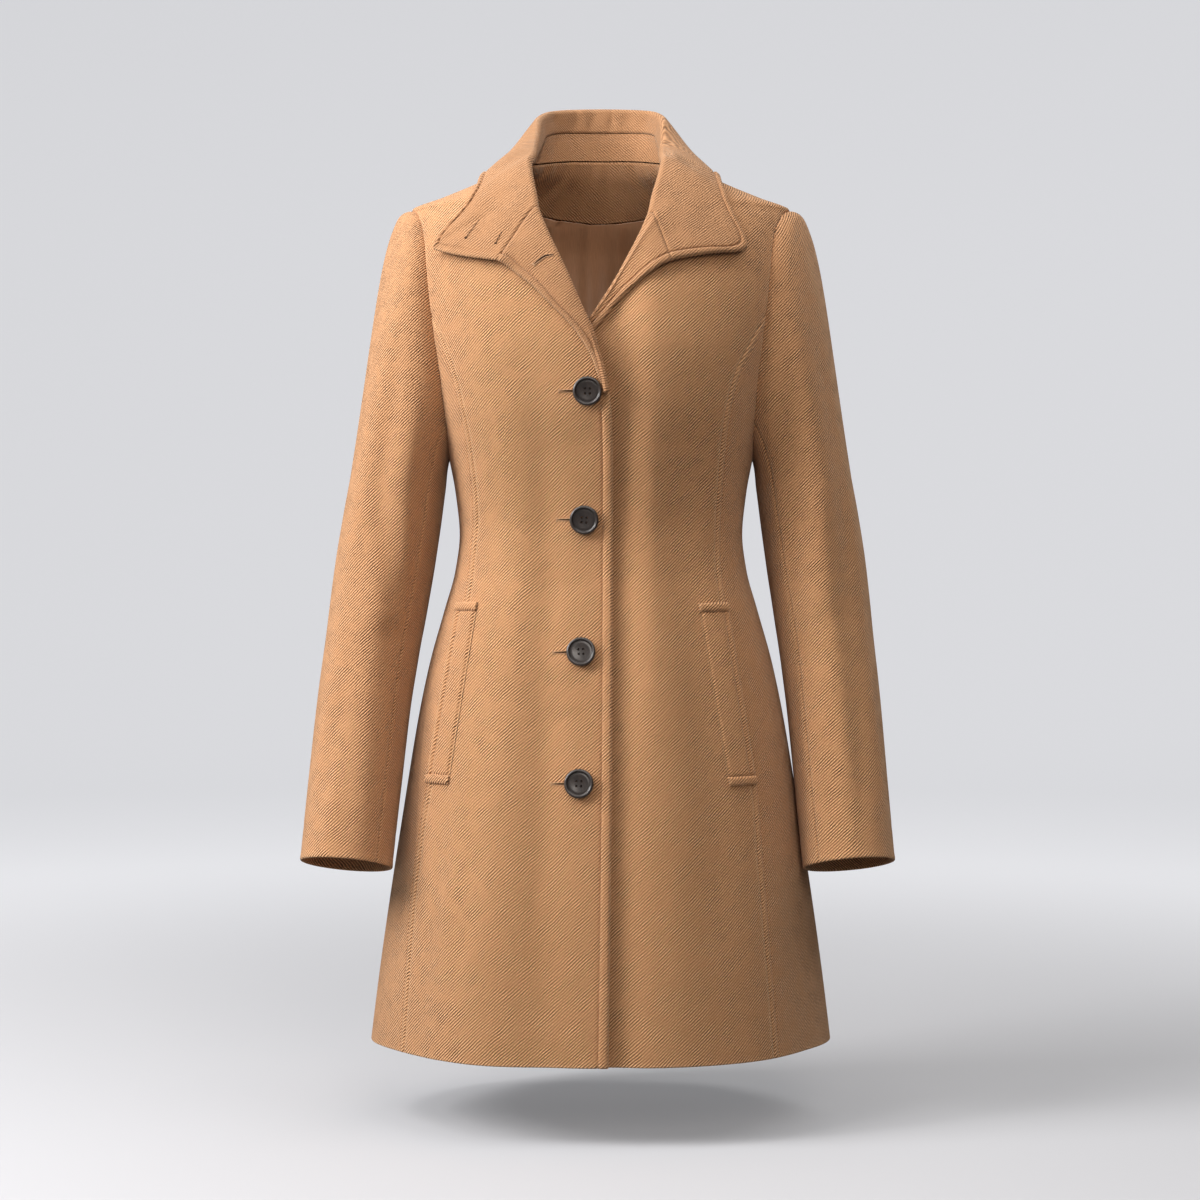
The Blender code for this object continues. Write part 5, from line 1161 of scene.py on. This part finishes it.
# Folds of the sleeves: height (mm), angle round, length (mm), width (degrees), lean, depth (mm).
FOLDS_OF_BOTH = (
    (-400, 60, 90, 22, 0, -2.4), (-430, 95, 70, 20, 0, 1.8), (-455, 125, 60, 20, 0, -3),
    (-545, 70, 80, 22, 0, -2), (-420, 250, 80, 24, 0, -3), (-500, 290, 80, 24, 0, 2),
)
SLEEVE_FOLDS = {
    "right": FOLDS_OF_BOTH + (
        (-325, 82, 80, 13, 10, -4.2), (-325, 110, 80, 12, 8, 3.8), (-330, 40, 110, 20, 4, 1.6),
        (-500, 150, 120, 16, 0, -2), (-462, 100, 20, 34, -26, -1.7), (-438, 118, 16, 30, -30, 1.2),
        (-492, 85, 18, 30, 22, -1.3), (-350, 72, 60, 13, 6, -1.5), (-600, 55, 70, 14, -5, -1.5),
        (-575, 105, 75, 13, 4, 1.2), (-640, 85, 50, 12, 3, -1), (-470, 230, 22, 34, 24, -2),
        (-520, 200, 50, 18, 4, -1.5), (-330, 300, 60, 16, -4, -1.4)),
    "left": FOLDS_OF_BOTH + (
        (-400, 60, 90, 22, 0, -0.6), (-430, 95, 70, 20, 0, 0.4), (-330, 80, 80, 13, 6, 3.2),
        (-330, 112, 90, 15, 6, -4), (-345, 50, 90, 13, 4, -2.4), (-520, 88, 110, 14, 0, 2.2),
        (-448, 88, 19, 33, 27, -1.6), (-476, 112, 17, 28, -24, -1.3), (-364, 98, 55, 13, -5, -1.4),
        (-610, 70, 75, 14, 4, -1.5), (-560, 40, 70, 13, -4, 1.3), (-645, 110, 45, 12, -3, -1.1),
        (-455, 235, 22, 32, -25, -2), (-530, 255, 55, 18, 3, -1.6), (-345, 285, 60, 16, 5, -1.3)),
}


def sleeve_axis(z, side):
    """The middle of a sleeve at a height."""
    shift = SLEEVE_SIDE_SHIFT[side] * gentle(z, SLEEVE_TOP, CUFF_HEIGHT)
    return np.array((SIDES[side] * (sleeve_out(-z) + shift), sleeve_forward(-z), z))


def sleeve_frame(z, side):
    """The sleeve's middle and its outward, forward and upward directions at a height."""
    upward = unit(sleeve_axis(min(z + 4 * MM, SLEEVE_TOP), side)
                  - sleeve_axis(max(z - 4 * MM, CUFF_HEIGHT), side))
    forward = np.array((0.0, -1.0, 0.0))
    forward = unit(forward - upward * (forward @ upward))
    return sleeve_axis(z, side), np.cross(forward, upward) * -SIDES[side], forward, upward


def sleeve_ring(turns, z, side):
    """A ring of the sleeve's outer surface. 0 is the outer line, 90 degrees the front."""
    middle, outward, forward, _ = sleeve_frame(z, side)
    fold = np.zeros(turns.shape)
    for height, angle, length, width, lean, depth in SLEEVE_FOLDS[side]:
        fall = z / MM - height
        aside = degrees_from(np.degrees(turns) + lean * fall / 40, angle)
        fold += depth * MM * swell(fall, length) * swell(aside, width)
    wide, deep = sleeve_wide(-z) + fold, sleeve_deep(-z) + fold
    return middle + outward * (wide * np.cos(turns))[:, None] + forward * (deep * np.sin(turns))[:, None]


SLEEVE_MARKS = np.array((0.12, 0.5, 1.0, 1.6, 2.4, 3.5, 5.0, 7.0))
HEAD_T = (np.linspace(0.0, 1.0, 52)[:-1] ** 1.5)[:, None, None]
SLEEVE_LENGTH = SLEEVE_TOP - CUFF_HEIGHT
TUBE_FALLS = np.concatenate((np.linspace(0.0, 1.0, 118)[:-1] * (SLEEVE_LENGTH - 6 * MM),
                             SLEEVE_LENGTH - np.array((5.5, 3.6, 2.2, 1.3, 0.7, 0.25, 0.0)) * MM))
# Name, first and last seam, columns between, the front column, flat size, area.
SLEEVE_PIECES = (
    ("top_sleeve_", BACK_SLEEVE_SEAM, FRONT_SLEEVE_SEAM + 360, 76, 450, (0.31, 0.70), 0.149),
    ("under_sleeve_", FRONT_SLEEVE_SEAM, BACK_SLEEVE_SEAM, 32, 180, (0.13, 0.50), 0.045),
)
for side, sign in SIDES.items():
    hole = np.concatenate((front_armhole[side], back_armhole[side][::-1]))
    for kind, first_step, last_step, between, front_step, flat, area in SLEEVE_PIECES:
        steps = np.concatenate((first_step + SLEEVE_MARKS,
                                np.linspace(first_step + 7, last_step - 7, between + 2)[1:-1],
                                last_step - SLEEVE_MARKS[::-1]))
        turns, round_step = np.radians(steps), steps % 360
        at_front = round_step <= 180
        seam_z = armhole_height(np.where(at_front, round_step, 360 - round_step))
        seam_angle = np.where(at_front, armhole_angle(seam_z, side, -1), armhole_angle(seam_z, side, 1))
        seam, normal = form(seam_angle, seam_z), form_normal(seam_angle, seam_z)
        # The head bulges from the armhole seam and falls into the sleeve's tube.
        towards = np.array((sign * 190 * MM, 0.0, ARMHOLE_MIDDLE)) - seam
        towards = unit(towards - normal * (towards * normal).sum(-1, keepdims=True))
        start, end = seam + towards * 0.2 * MM, sleeve_ring(turns, SLEEVE_TOP, side)
        tip = (1 + np.cos(turns)) / 2
        leave = unit(np.stack((sign * (0.30 + 0.70 * tip), -0.40 * np.sin(turns), -0.95 + 0.90 * tip), -1))
        fall = np.linalg.norm(end - start, axis=1)[:, None]
        first = start + leave * np.minimum(SLEEVE_HEAD_FULLNESS, 0.35 * fall)
        second = end + sleeve_frame(SLEEVE_TOP, side)[3] * (fall * (0.40 + 0.20 * tip)[:, None])
        t = HEAD_T
        head = (start * (1 - t) ** 3 + first * 3 * (1 - t) ** 2 * t + second * 3 * (1 - t) * t * t
                + end * t ** 3)
        tube = np.stack([sleeve_ring(turns, SLEEVE_TOP - drop, side) for drop in TUBE_FALLS])
        points = np.concatenate((head, tube))
        normals = grid_normals(points)
        cuff_middle = np.array([sleeve_axis(np.clip(z, CUFF_HEIGHT, SLEEVE_TOP), side)
                                for z in points[-1, :, 2]])
        if (normals[-1] * (points[-1] - cuff_middle)).sum() < 0:
            normals = -normals
        groove = seam_dip(*distance_to_line(points, hole))[..., None] * normal
        # The cloth eased into the sleeve's head swells softly just beyond the seam.
        from_hole, _ = distance_to_line(points, hole)
        lift = 0.9 * MM * swell(from_hole - 12 * MM, 9 * MM) * tip
        across = np.pad(np.linalg.norm(np.diff(points, axis=1), axis=2).cumsum(1), ((0, 0), (1, 0)))
        down = np.pad(np.linalg.norm(np.diff(points, axis=0), axis=2).cumsum(0), ((1, 0), (0, 0)))
        from_seam, from_cuff = np.minimum(across, across[:, -1:] - across), down[-1] - down
        lift += seam_dip(from_seam + 0.1 * MM, down)
        lift += 0.35 * MM * swell(from_cuff - 3 * MM, 2.5 * MM)
        lift -= 0.30 * MM * swell(from_cuff - 34 * MM, 2.2 * MM)
        half = rolled_half(from_cuff, WOOL_THICKNESS)
        outer = off(points, normals, half + lift - WOOL_THICKNESS / 2) + groove
        inner = off(points, normals, -half - WOOL_THICKNESS / 2) + groove
        # The seam's allowance lies turned in under the edge of the armhole.
        tuck = normal * 2.2 * MM + towards * 1.2 * MM
        outer, inner = (np.concatenate((face[:1] - tuck, face)) for face in (outer, inner))
        down = np.concatenate((down[:1] - 2.5 * MM, down))
        from_cuff, from_seam = down[-1] - down, np.concatenate((from_seam[:1], from_seam))
        # The weave runs level round the sleeve from its front column, and is fanned behind the head.
        level = np.pad(np.linalg.norm(np.diff(outer[..., :2], axis=1), axis=2).cumsum(1), ((0, 0), (1, 0)))
        facing = int(np.argmin(np.abs(steps - front_step)))
        anchor = np.repeat(outer[:, facing, None, 0], len(turns), axis=1)
        level = level - level[:, facing, None]
        top, behind = len(head) + 1, gentle(-np.sin(turns), 0.0, 0.8)
        anchor[:top] = anchor[top] + (anchor[:top] - anchor[top]) * (1 - 2 * behind)
        level[:top] += (level[top] - level[:top]) * behind
        place = np.stack((anchor - sign * level, outer[..., 2]), -1)
        worn = np.maximum(swell(from_cuff, 2.6 * MM), 0.6 * swell(from_seam - 2.2 * MM, 1.6 * MM))
        piece = shell(kind + side + "_cloth", outer, inner, place, worn)
        dress(piece, coat_wool, kind + side)
        under = ["top_sleeve_"] if kind == "under_sleeve_" else ["front_", "back_"]
        [name + side + "_cloth" for name in under]

# ---------------------------------------------------------------- cuff linings
# The ends of the sleeve linings, of the same brown satin, felled to the turned-up cuffs a
# little above their edge. They are fuller than the cuff, so they lie in small pleats.
CUFF_ROWS = np.concatenate((np.array((0.0, 0.3, 0.8, 2.0, 4.0)), np.linspace(7, 110, 26))) * MM
turns = np.radians(np.arange(0.0, 360.0, 2.0))
for side in SIDES:
    outer, inner, place = [], [], []
    for rise in CUFF_ROWS:
        z = CUFF_HEIGHT + 16 * MM + rise
        ring = sleeve_ring(turns, z, side)
        towards = unit(sleeve_axis(z, side) - ring)
        folds = (0.5 + 0.5 * np.sin(turns * 17 + 0.9 * np.sin(turns * 3) + 6 * rise)) ** 2
        depth = WOOL_THICKNESS + 0.6 * MM + folds * (0.8 + 1.6 * gentle(rise, 0.0, 20 * MM)) * MM
        outer.append(off(ring, towards, depth))
        inner.append(off(ring, towards, depth + LINING_THICKNESS))
        place.append(np.stack((turns * 0.05, np.full(turns.shape, z)), -1))
    outer, inner, place = np.stack(outer), np.stack(inner), np.stack(place)
    piece = shell("cuff_lining_" + side + "_cloth", outer, inner, place, np.zeros(outer.shape[:2]),
                  closed=True)
    dress(piece, lining_satin, "cuff_lining_" + side, slot=LINING_SLOT)
    "top_sleeve_" + side + "_cloth"
    "under_sleeve_" + side + "_cloth"

# ---------------------------------------------------------------- buttonholes
# Worked buttonholes: thread is sewn closely across both lips of a slit, with a bar at the inner
# end. There is one under each button, one on the lapel and two on the collar's leaf.
def painted_shadow_material(name, colour):
    """Painted shadow for the cut between a buttonhole's lips: a near-black surface with a little fluff."""
    material, tree, shader, lie = new_material(name, colour, {
        "Roughness": 0.95, "Specular IOR Level": 0.1})
    feed(shader, {"Base Color": mixed(tree, noise_at(lie, 1800.0, 2.0, 0.6), darker(colour, 0.35), colour)})
    return material


buttonhole_thread = thread_material("buttonhole_thread", (0.45, 0.238, 0.112, 1.0))
slit_shadow = painted_shadow_material("buttonhole_slit", (0.05, 0.024, 0.012, 1.0))
LIP_STITCH = 0.52 * MM


def buttonhole(name, line, normals, lip=1.35 * MM, gape=0.85, eye=0.0):
    """A slit along a line on the cloth, its thread-covered lips, its bar and its round eye; the slit and the
    eye are near-black strips of painted shadow.
    """
    lengths = lengths_along(line)
    total = lengths[-1]

    def at(distance):
        before, after = (point_at(line, lengths, distance + shift * MM) for shift in (-0.5, 0.5))
        ahead, up = unit(after - before), unit(point_at(normals, lengths, distance))
        return point_at(line, lengths, distance), up, ahead, np.cross(up, ahead)

    runs = []
    for distance in (np.arange(int(total / LIP_STITCH)) + 0.5) * LIP_STITCH:
        spot, up, ahead, aside = at(distance)
        open_by = (0.2 + 0.45 * gape) * MM * math.sin(math.pi * distance / total)
        for way in (-1, 1):
            start = spot + aside * way * open_by
            stop = spot + aside * way * (open_by + lip) + ahead * 0.1 * MM * way
            runs.append(((start, (start + stop) / 2 + up * 0.32 * MM, stop), up))
    spot, up, ahead, aside = at(0.0)
    for shift in () if eye else (-0.4, 0.0, 0.4):
        base, reach = spot + ahead * shift * MM + up * 0.3 * MM, aside * 2.5 * MM
        runs.append(((base - reach, base + up * 0.2 * MM, base + reach), up))
    stitches(name, [(np.stack(run), np.stack((up, up, up))) for run, up in runs], buttonhole_thread,
             pitch=10.0, length=None, radius=0.24 * MM, sink=-0.06 * MM)

    # The slit and its eye: near-black strips, painted shadow in the cut.
    strip, places = [], []
    for distance in np.linspace(0.5 * MM, total - 0.3 * MM, 16):
        spot, up, _, aside_here = at(distance)
        wide = gape * MM * math.sin(math.pi * min(max(distance / total, 0.05), 0.95)) + 0.06 * MM
        for way, rise in ((-1, 0.0), (-1, 0.22), (1, 0.22), (1, 0.0)):
            strip.append(tuple(spot + aside_here * way * wide + up * rise * MM))
            places.append((distance, way * wide, 0.0))
    faces = [(a + j, a + (j + 1) % 4, a + 4 + (j + 1) % 4, a + 4 + j)
             for a in range(0, 60, 4) for j in range(4)] + [(3, 2, 1, 0), (60, 61, 62, 63)]
    if eye:
        spot, up, ahead, aside = at(0.0)
        for rise in (0.0, 0.3 * MM):
            for turn in np.linspace(0, math.tau, 13)[:-1]:
                away = eye * math.cos(turn), eye * math.sin(turn)
                strip.append(tuple(spot + ahead * away[0] + aside * away[1] + up * rise))
                places.append((*away, 0.0))
        low, high = range(64, 76), range(76, 88)
        faces += [tuple(reversed(low)), tuple(high)]
        faces += [(low[j], low[(j + 1) % 12], high[(j + 1) % 12], high[j]) for j in range(12)]
    dress(add_piece(name + "_slit", strip, faces, places, smooth=False), slit_shadow)


BUTTON_PLACES = ((-13.2, -213.0), (-16.5, -338.0), (-19.6, -468.0), (-21.4, -595.5))
for number, (x, z) in enumerate(BUTTON_PLACES, start=1):
    height = np.full(14, z * MM)
    angles = front_angle(np.linspace(x - 28.0, x - 2.0, 14) * MM, height)
    outward, points = form_normal(angles, height), form(angles, height)
    lift = creases(angles, height) + right_front_relief(points, height)
    buttonhole("buttonhole_%d" % number, off(points, outward, lift + 0.05 * MM), outward)


def line_on_leaf(corners, columns):
    """A line over the turned cloth through corners (x, z in mm), on its visible face."""
    corners, t = np.array(corners, float) * MM, np.linspace(0, 1, 14)
    across, height = (curve_through(np.linspace(0, 1, len(corners)), corners[:, k])(t) for k in (0, 1))
    leaf, directions = (grid[leaf_rows, columns].reshape(-1, 3) for grid in (turned_outer, turned_normals))
    line, ups = [], []
    for x, z in zip(across, height):
        gap = np.hypot(leaf[:, 0] - x, leaf[:, 2] - z)
        nearest = np.argsort(gap)[:4]
        weight = 1 / (gap[nearest] + 0.05 * MM)
        weight = weight / weight.sum()
        line.append((x, (leaf[nearest, 1] * weight).sum(), z))
        ups.append(unit((directions[nearest] * weight[:, None]).sum(0)))
    return np.array(line), np.array(ups)


# Name, corners (x, z), lip, gape and the eye's radius, in mm.
LEAF_BUTTONHOLES = (
    ("collar_buttonhole_outer", ((-134.0, -57.5), (-127.5, -47.8), (-121.0, -38.0)), 0.6, 0.05, 1.5),
    ("collar_buttonhole_inner", ((-104.0, -65.0), (-101.0, -59.0), (-98.5, -53.0)), 0.5, 0.05, 1.25),
    ("lapel_buttonhole", ((-66.0, -88.5), (-60.5, -83.6), (-53.5, -79.4), (-46.5, -78.4)), 1.6, 0.95, 0),
)
right_leaf = slice(0, int(np.argmin(np.abs(spots - row_places[MIDDLE_ROW - 5]))))
for name, corners, lip, gape, eye in LEAF_BUTTONHOLES:
    line, ups = line_on_leaf(corners, right_leaf)
    buttonhole(name, line + ups * 0.1 * MM, ups, lip * MM, gape, eye * MM)

# ---------------------------------------------------------------- buttons
# Four turned buttons of dark horn, 28.8 mm across, with a raised rim, a dished face and four
# holes. Each is sewn through the lap on a short thread shank and stands just clear of it.
BUTTON_RADIUS, BUTTON_GAP, HOLE_OFFSETS = 14.4 * MM, 0.6 * MM, (-2.3, 2.3)
BUTTON_TURNS = (0.0, -5.0, 4.0, -2.0)
BUTTON_PROFILE = (
    (0, 0), (9, 0), (11.8, 0.1), (12.9, 0.5), (13.8, 1.1), (14.3, 1.8), (14.4, 2.4), (14.3, 3.1),
    (14, 3.8), (13.5, 4.3), (12.9, 4.55), (12.4, 4.58), (11.9, 4.4), (11.5, 3.95), (11.2, 3.3),
    (10.8, 2.95), (10.2, 2.95), (9.4, 3.15), (8, 3.02), (5.5, 2.7), (3, 2.5), (0, 2.45),
)


def horn(name):
    """Polished horn: dark brown-grey with drawn streaks, cloudy spots and a clear gloss."""
    material, tree, shader, _ = new_material(name, (0.06, 0.045, 0.038, 1.0), {
        "IOR": 1.54, "Coat Weight": 0.5, "Coat Roughness": 0.20})
    place = node(tree, "TexCoord", output="Object")
    streaks = noise_at(place, 210.0, 3.0, 0.6, (0.35, 3.4, 0.5))
    scratches = noise_at(place, 1500.0, 2.0, 0.6)
    colour = mixed(tree, streaks * 1.8 + -0.4, (0.007, 0.005, 0.004, 1), (0.040, 0.026, 0.020, 1))
    feed(shader, {
        "Base Color": mixed(tree, noise_at(place, 90.0) * 0.45, colour, (0.022, 0.018, 0.017, 1)),
        "Roughness": scratches * 0.16 + 0.32, "Normal": raised(streaks + scratches, 0.15, 0.1 * MM)})
    return material


def spun(name, profile, steps):
    """A mesh turned round the upright axis from a profile of (radius, height)."""
    lathe = bmesh.new()
    line = [lathe.verts.new((x, 0.0, z)) for x, z in profile]
    edges = [lathe.edges.new(pair) for pair in zip(line, line[1:])]
    bmesh.ops.spin(lathe, geom=line + edges, cent=(0, 0, 0), axis=(0, 0, 1), dvec=(0, 0, 0),
                   angle=math.tau, steps=steps, use_merge=True)
    bmesh.ops.remove_doubles(lathe, verts=lathe.verts, dist=0.01 * MM)
    bmesh.ops.recalc_face_normals(lathe, faces=lathe.faces)
    return finished(lathe, name)


def finished(shape, name):
    """Turns an edited shape into an object in the scene."""
    mesh = bpy.data.meshes.new(name)
    shape.to_mesh(mesh)
    shape.free()
    made = bpy.data.objects.new(name, mesh)
    bpy.context.scene.collection.objects.link(made)
    return made


def add_cone(shape, x, y, low, high, low_radius, high_radius, segments):
    """A capped cone or pin standing in a shape, sizes in mm."""
    made = bmesh.ops.create_cone(shape, cap_ends=True, segments=segments, radius1=low_radius * MM,
                                 radius2=high_radius * MM, depth=(high - low) * MM)
    bmesh.ops.translate(shape, verts=made["verts"], vec=(x * MM, y * MM, (low + high) / 2 * MM))


blank = spun("button_blank", [(x * MM, z * MM) for x, z in BUTTON_PROFILE], 72)
drill = bmesh.new()
for x in HOLE_OFFSETS:
    for y in HOLE_OFFSETS:
        add_cone(drill, x, y, -2.0, 8.0, 1.12, 1.12, 28)
        add_cone(drill, x, y, 2.4, 3.5, 1.1, 1.6, 28)
tool = finished(drill, "button_drill")
cut = blank.modifiers.new("holes", "BOOLEAN")
cut.operation, cut.use_self, cut.object = "DIFFERENCE", True, tool
bpy.context.view_layer.update()
button_shape = bpy.data.meshes.new_from_object(blank.evaluated_get(bpy.context.evaluated_depsgraph_get()))
bpy.data.objects.remove(blank)
bpy.data.objects.remove(tool)
button_shape.shade_smooth()
button_shape.set_sharp_from_angle(angle=math.radians(38))
button_shape.materials.clear()
button_horn = horn("button_horn")
button_thread = thread_material("button_thread", (0.045, 0.027, 0.018, 1.0))

for number, (x, z) in enumerate(BUTTON_PLACES, start=1):
    x, z = x * MM, z * MM
    angle = front_angle(np.array(x), np.array(z))
    seat, normal = form(angle, z), form_normal(angle, z)
    around = np.linspace(0, math.tau, 13)[:-1]
    rim_x, rim_z = x + BUTTON_RADIUS * np.cos(around), z + BUTTON_RADIUS * np.sin(around)
    rim = form(front_angle(rim_x, rim_z), rim_z)
    lift = BUTTON_GAP + max(((rim - seat) @ normal).max(), 0.0)
    button = bpy.data.objects.new("button_%d_horn" % number, button_shape.copy())
    button.location = seat + normal * lift
    turn = Vector(normal).to_track_quat("Z", "Y").to_matrix().to_4x4()
    turn = turn @ Matrix.Rotation(math.radians(BUTTON_TURNS[number - 1]), 4, "Z")
    button.rotation_euler = turn.to_euler()
    bpy.context.scene.collection.objects.link(button)
    dress(button, button_horn, "button_%d" % number, slot="button horn")

    sewn = bmesh.new()
    for hole_x in HOLE_OFFSETS:
        for hole_y in HOLE_OFFSETS:
            for strand in np.arange(3) * math.tau / 3:
                add_cone(sewn, hole_x + 0.38 * math.cos(strand), hole_y + 0.38 * math.sin(strand),
                         -0.9, 1.3, 0.30, 0.30, 8)
    add_cone(sewn, 0.0, 0.0, -lift / MM - 0.25, 0.65, 3.4, 3.0, 20)
    shank = finished(sewn, "button_%d_thread" % number)
    lie = shank.data.attributes.new("cloth_place", "FLOAT_VECTOR", "POINT")
    lie.data.foreach_set("vector", np.array([vertex.co[:] for vertex in shank.data.vertices],
                                            np.float32).ravel())
    shank.location, shank.rotation_euler = button.location, button.rotation_euler
    dress(shank, button_thread)

# ---------------------------------------------------------------- floor, light and camera
# A seamless pale sweep: a level floor that curves up far behind into a wall on every side. Its paint glows
# with painted light and carries painted shade at the front right. Two soft lights stand at the left, a weaker
# one in front and a large one overhead.
FLOOR_HEIGHT = -0.945
FLOOR_FLAT, SWEEP_RADIUS, WALL_HEIGHT = 4.2, 1.8, 6.0


def painted(name, colour, shaded, glow):
    """Matt paint with painted light: it glows, to the camera faintly near the middle and fully further out,
    to other rays only further out and not at the front right. It is painted darker at the front right, only
    faintly to the camera, and it bounces light at 0.42 of the colour the camera sees.
    """
    material, tree, shader, _ = new_material(name, (0.8, 0.8, 0.8, 1.0), {
        "Roughness": 0.95, "Specular IOR Level": 0.1, "Emission Strength": 1.0})
    place = node(tree, "TexCoord", output="Object")
    x, y = (node(tree, "SeparateXYZ", place, output=axis) for axis in (0, 1))
    away = (x * x + y * y).math("SQRT")
    in_shade = ranged(x * 0.75 + y * -0.66, 0.6, 3.4, kind="SMOOTHSTEP")
    far = ranged(away, 1.3, 4.6, kind="SMOOTHSTEP")
    seen = node(tree, "LightPath", output="Is Camera Ray")
    cloudy = mixed(tree, noise_at(place, 0.7), colour, darker(colour, 1.03))
    # Painted shade on bounced light: rays other than the camera's see the paint at 0.42 of its colour.
    coat = mixed(tree, seen, darker(colour, 0.42), cloudy)
    # Painted shade at the front right, faint to the camera, and painted light as glow, which near the middle
    # of the floor lightens the coat's shadow to the camera.
    shade = in_shade * ranged(away, 2.2, 3.6, kind="SMOOTHSTEP") * (seen * -0.85 + 1.0)
    unseen_light = mixed(tree, far * (in_shade * -1.0 + 1.0), (0.0, 0.0, 0.0, 1.0), darker(glow, 0.42))
    seen_light = mixed(tree, ranged(away, 0.55, 2.5, kind="SMOOTHSTEP"), darker(glow, 0.33), glow)
    feed(shader, {"Base Color": mixed(tree, shade, coat, shaded),
                  "Emission Color": mixed(tree, seen, unseen_light, seen_light)})
    return material


profile = [(0.0, FLOOR_HEIGHT), (FLOOR_FLAT, FLOOR_HEIGHT)]
for turn in np.arange(1, 13) / 12 * math.pi / 2:
    profile.append((FLOOR_FLAT + SWEEP_RADIUS * math.sin(turn),
                    FLOOR_HEIGHT + SWEEP_RADIUS * (1 - math.cos(turn))))
profile.append((FLOOR_FLAT + SWEEP_RADIUS, FLOOR_HEIGHT + WALL_HEIGHT))
studio = spun("studio_sweep", profile, 96)
studio.data.shade_smooth()
# Pale paint, its painted shade at the front right and its painted glow.
studio.data.materials.append(painted(
    "studio_paint", (0.38, 0.38, 0.393, 1.0), (0.16, 0.16, 0.165, 1.0), (0.56, 0.565, 0.585, 1.0)))

# Name, place, aim, width (all in metres), power and colour.
LIGHTS = (
    ("side_light", (-1.9, -0.70, 0.50), (0, 0, -0.3), 0.8, 53, (1.0, 0.99, 0.99)),
    ("key_light", (-1.21, -0.88, 1.20), (0, 0, -0.25), 0.8, 27, (1.0, 0.99, 0.99)),
    ("front_light", (0.45, -2.9, 0.9), (0, 0, -0.2), 1.2, 27, (1.0, 0.93, 0.87)),
    ("overhead_light", (0.65, -0.5, 1.95), (0.1, 0, -0.6), 2.8, 55, (1.0, 0.985, 0.96)),
)
for name, place, aim, width, power, colour in LIGHTS:
    data = bpy.data.lights.new(name, "AREA")
    data.shape, data.size, data.size_y = "RECTANGLE", width, width
    data.energy, data.color = power, colour
    light = bpy.data.objects.new(name, data)
    light.location = place
    light.rotation_euler = (Vector(aim) - Vector(place)).to_track_quat("-Z", "Y").to_euler()
    bpy.context.scene.collection.objects.link(light)

world = bpy.data.worlds.new("studio_air")
world.use_nodes = True
feed(world.node_tree.nodes["Background"], {"Color": (0.90, 0.92, 0.95, 1.0), "Strength": 0.08})
bpy.context.scene.world = world
bpy.context.scene.view_settings.view_transform = "Standard"

camera_data = bpy.data.cameras.new("camera")
camera_data.lens, camera_data.sensor_width = 69.9, 36.0
camera = bpy.data.objects.new("camera", camera_data)
camera.location, camera.rotation_euler = (-0.001, -2.4, -0.417), (math.pi / 2, 0, 0)
bpy.context.scene.collection.objects.link(camera)
bpy.context.scene.camera = camera
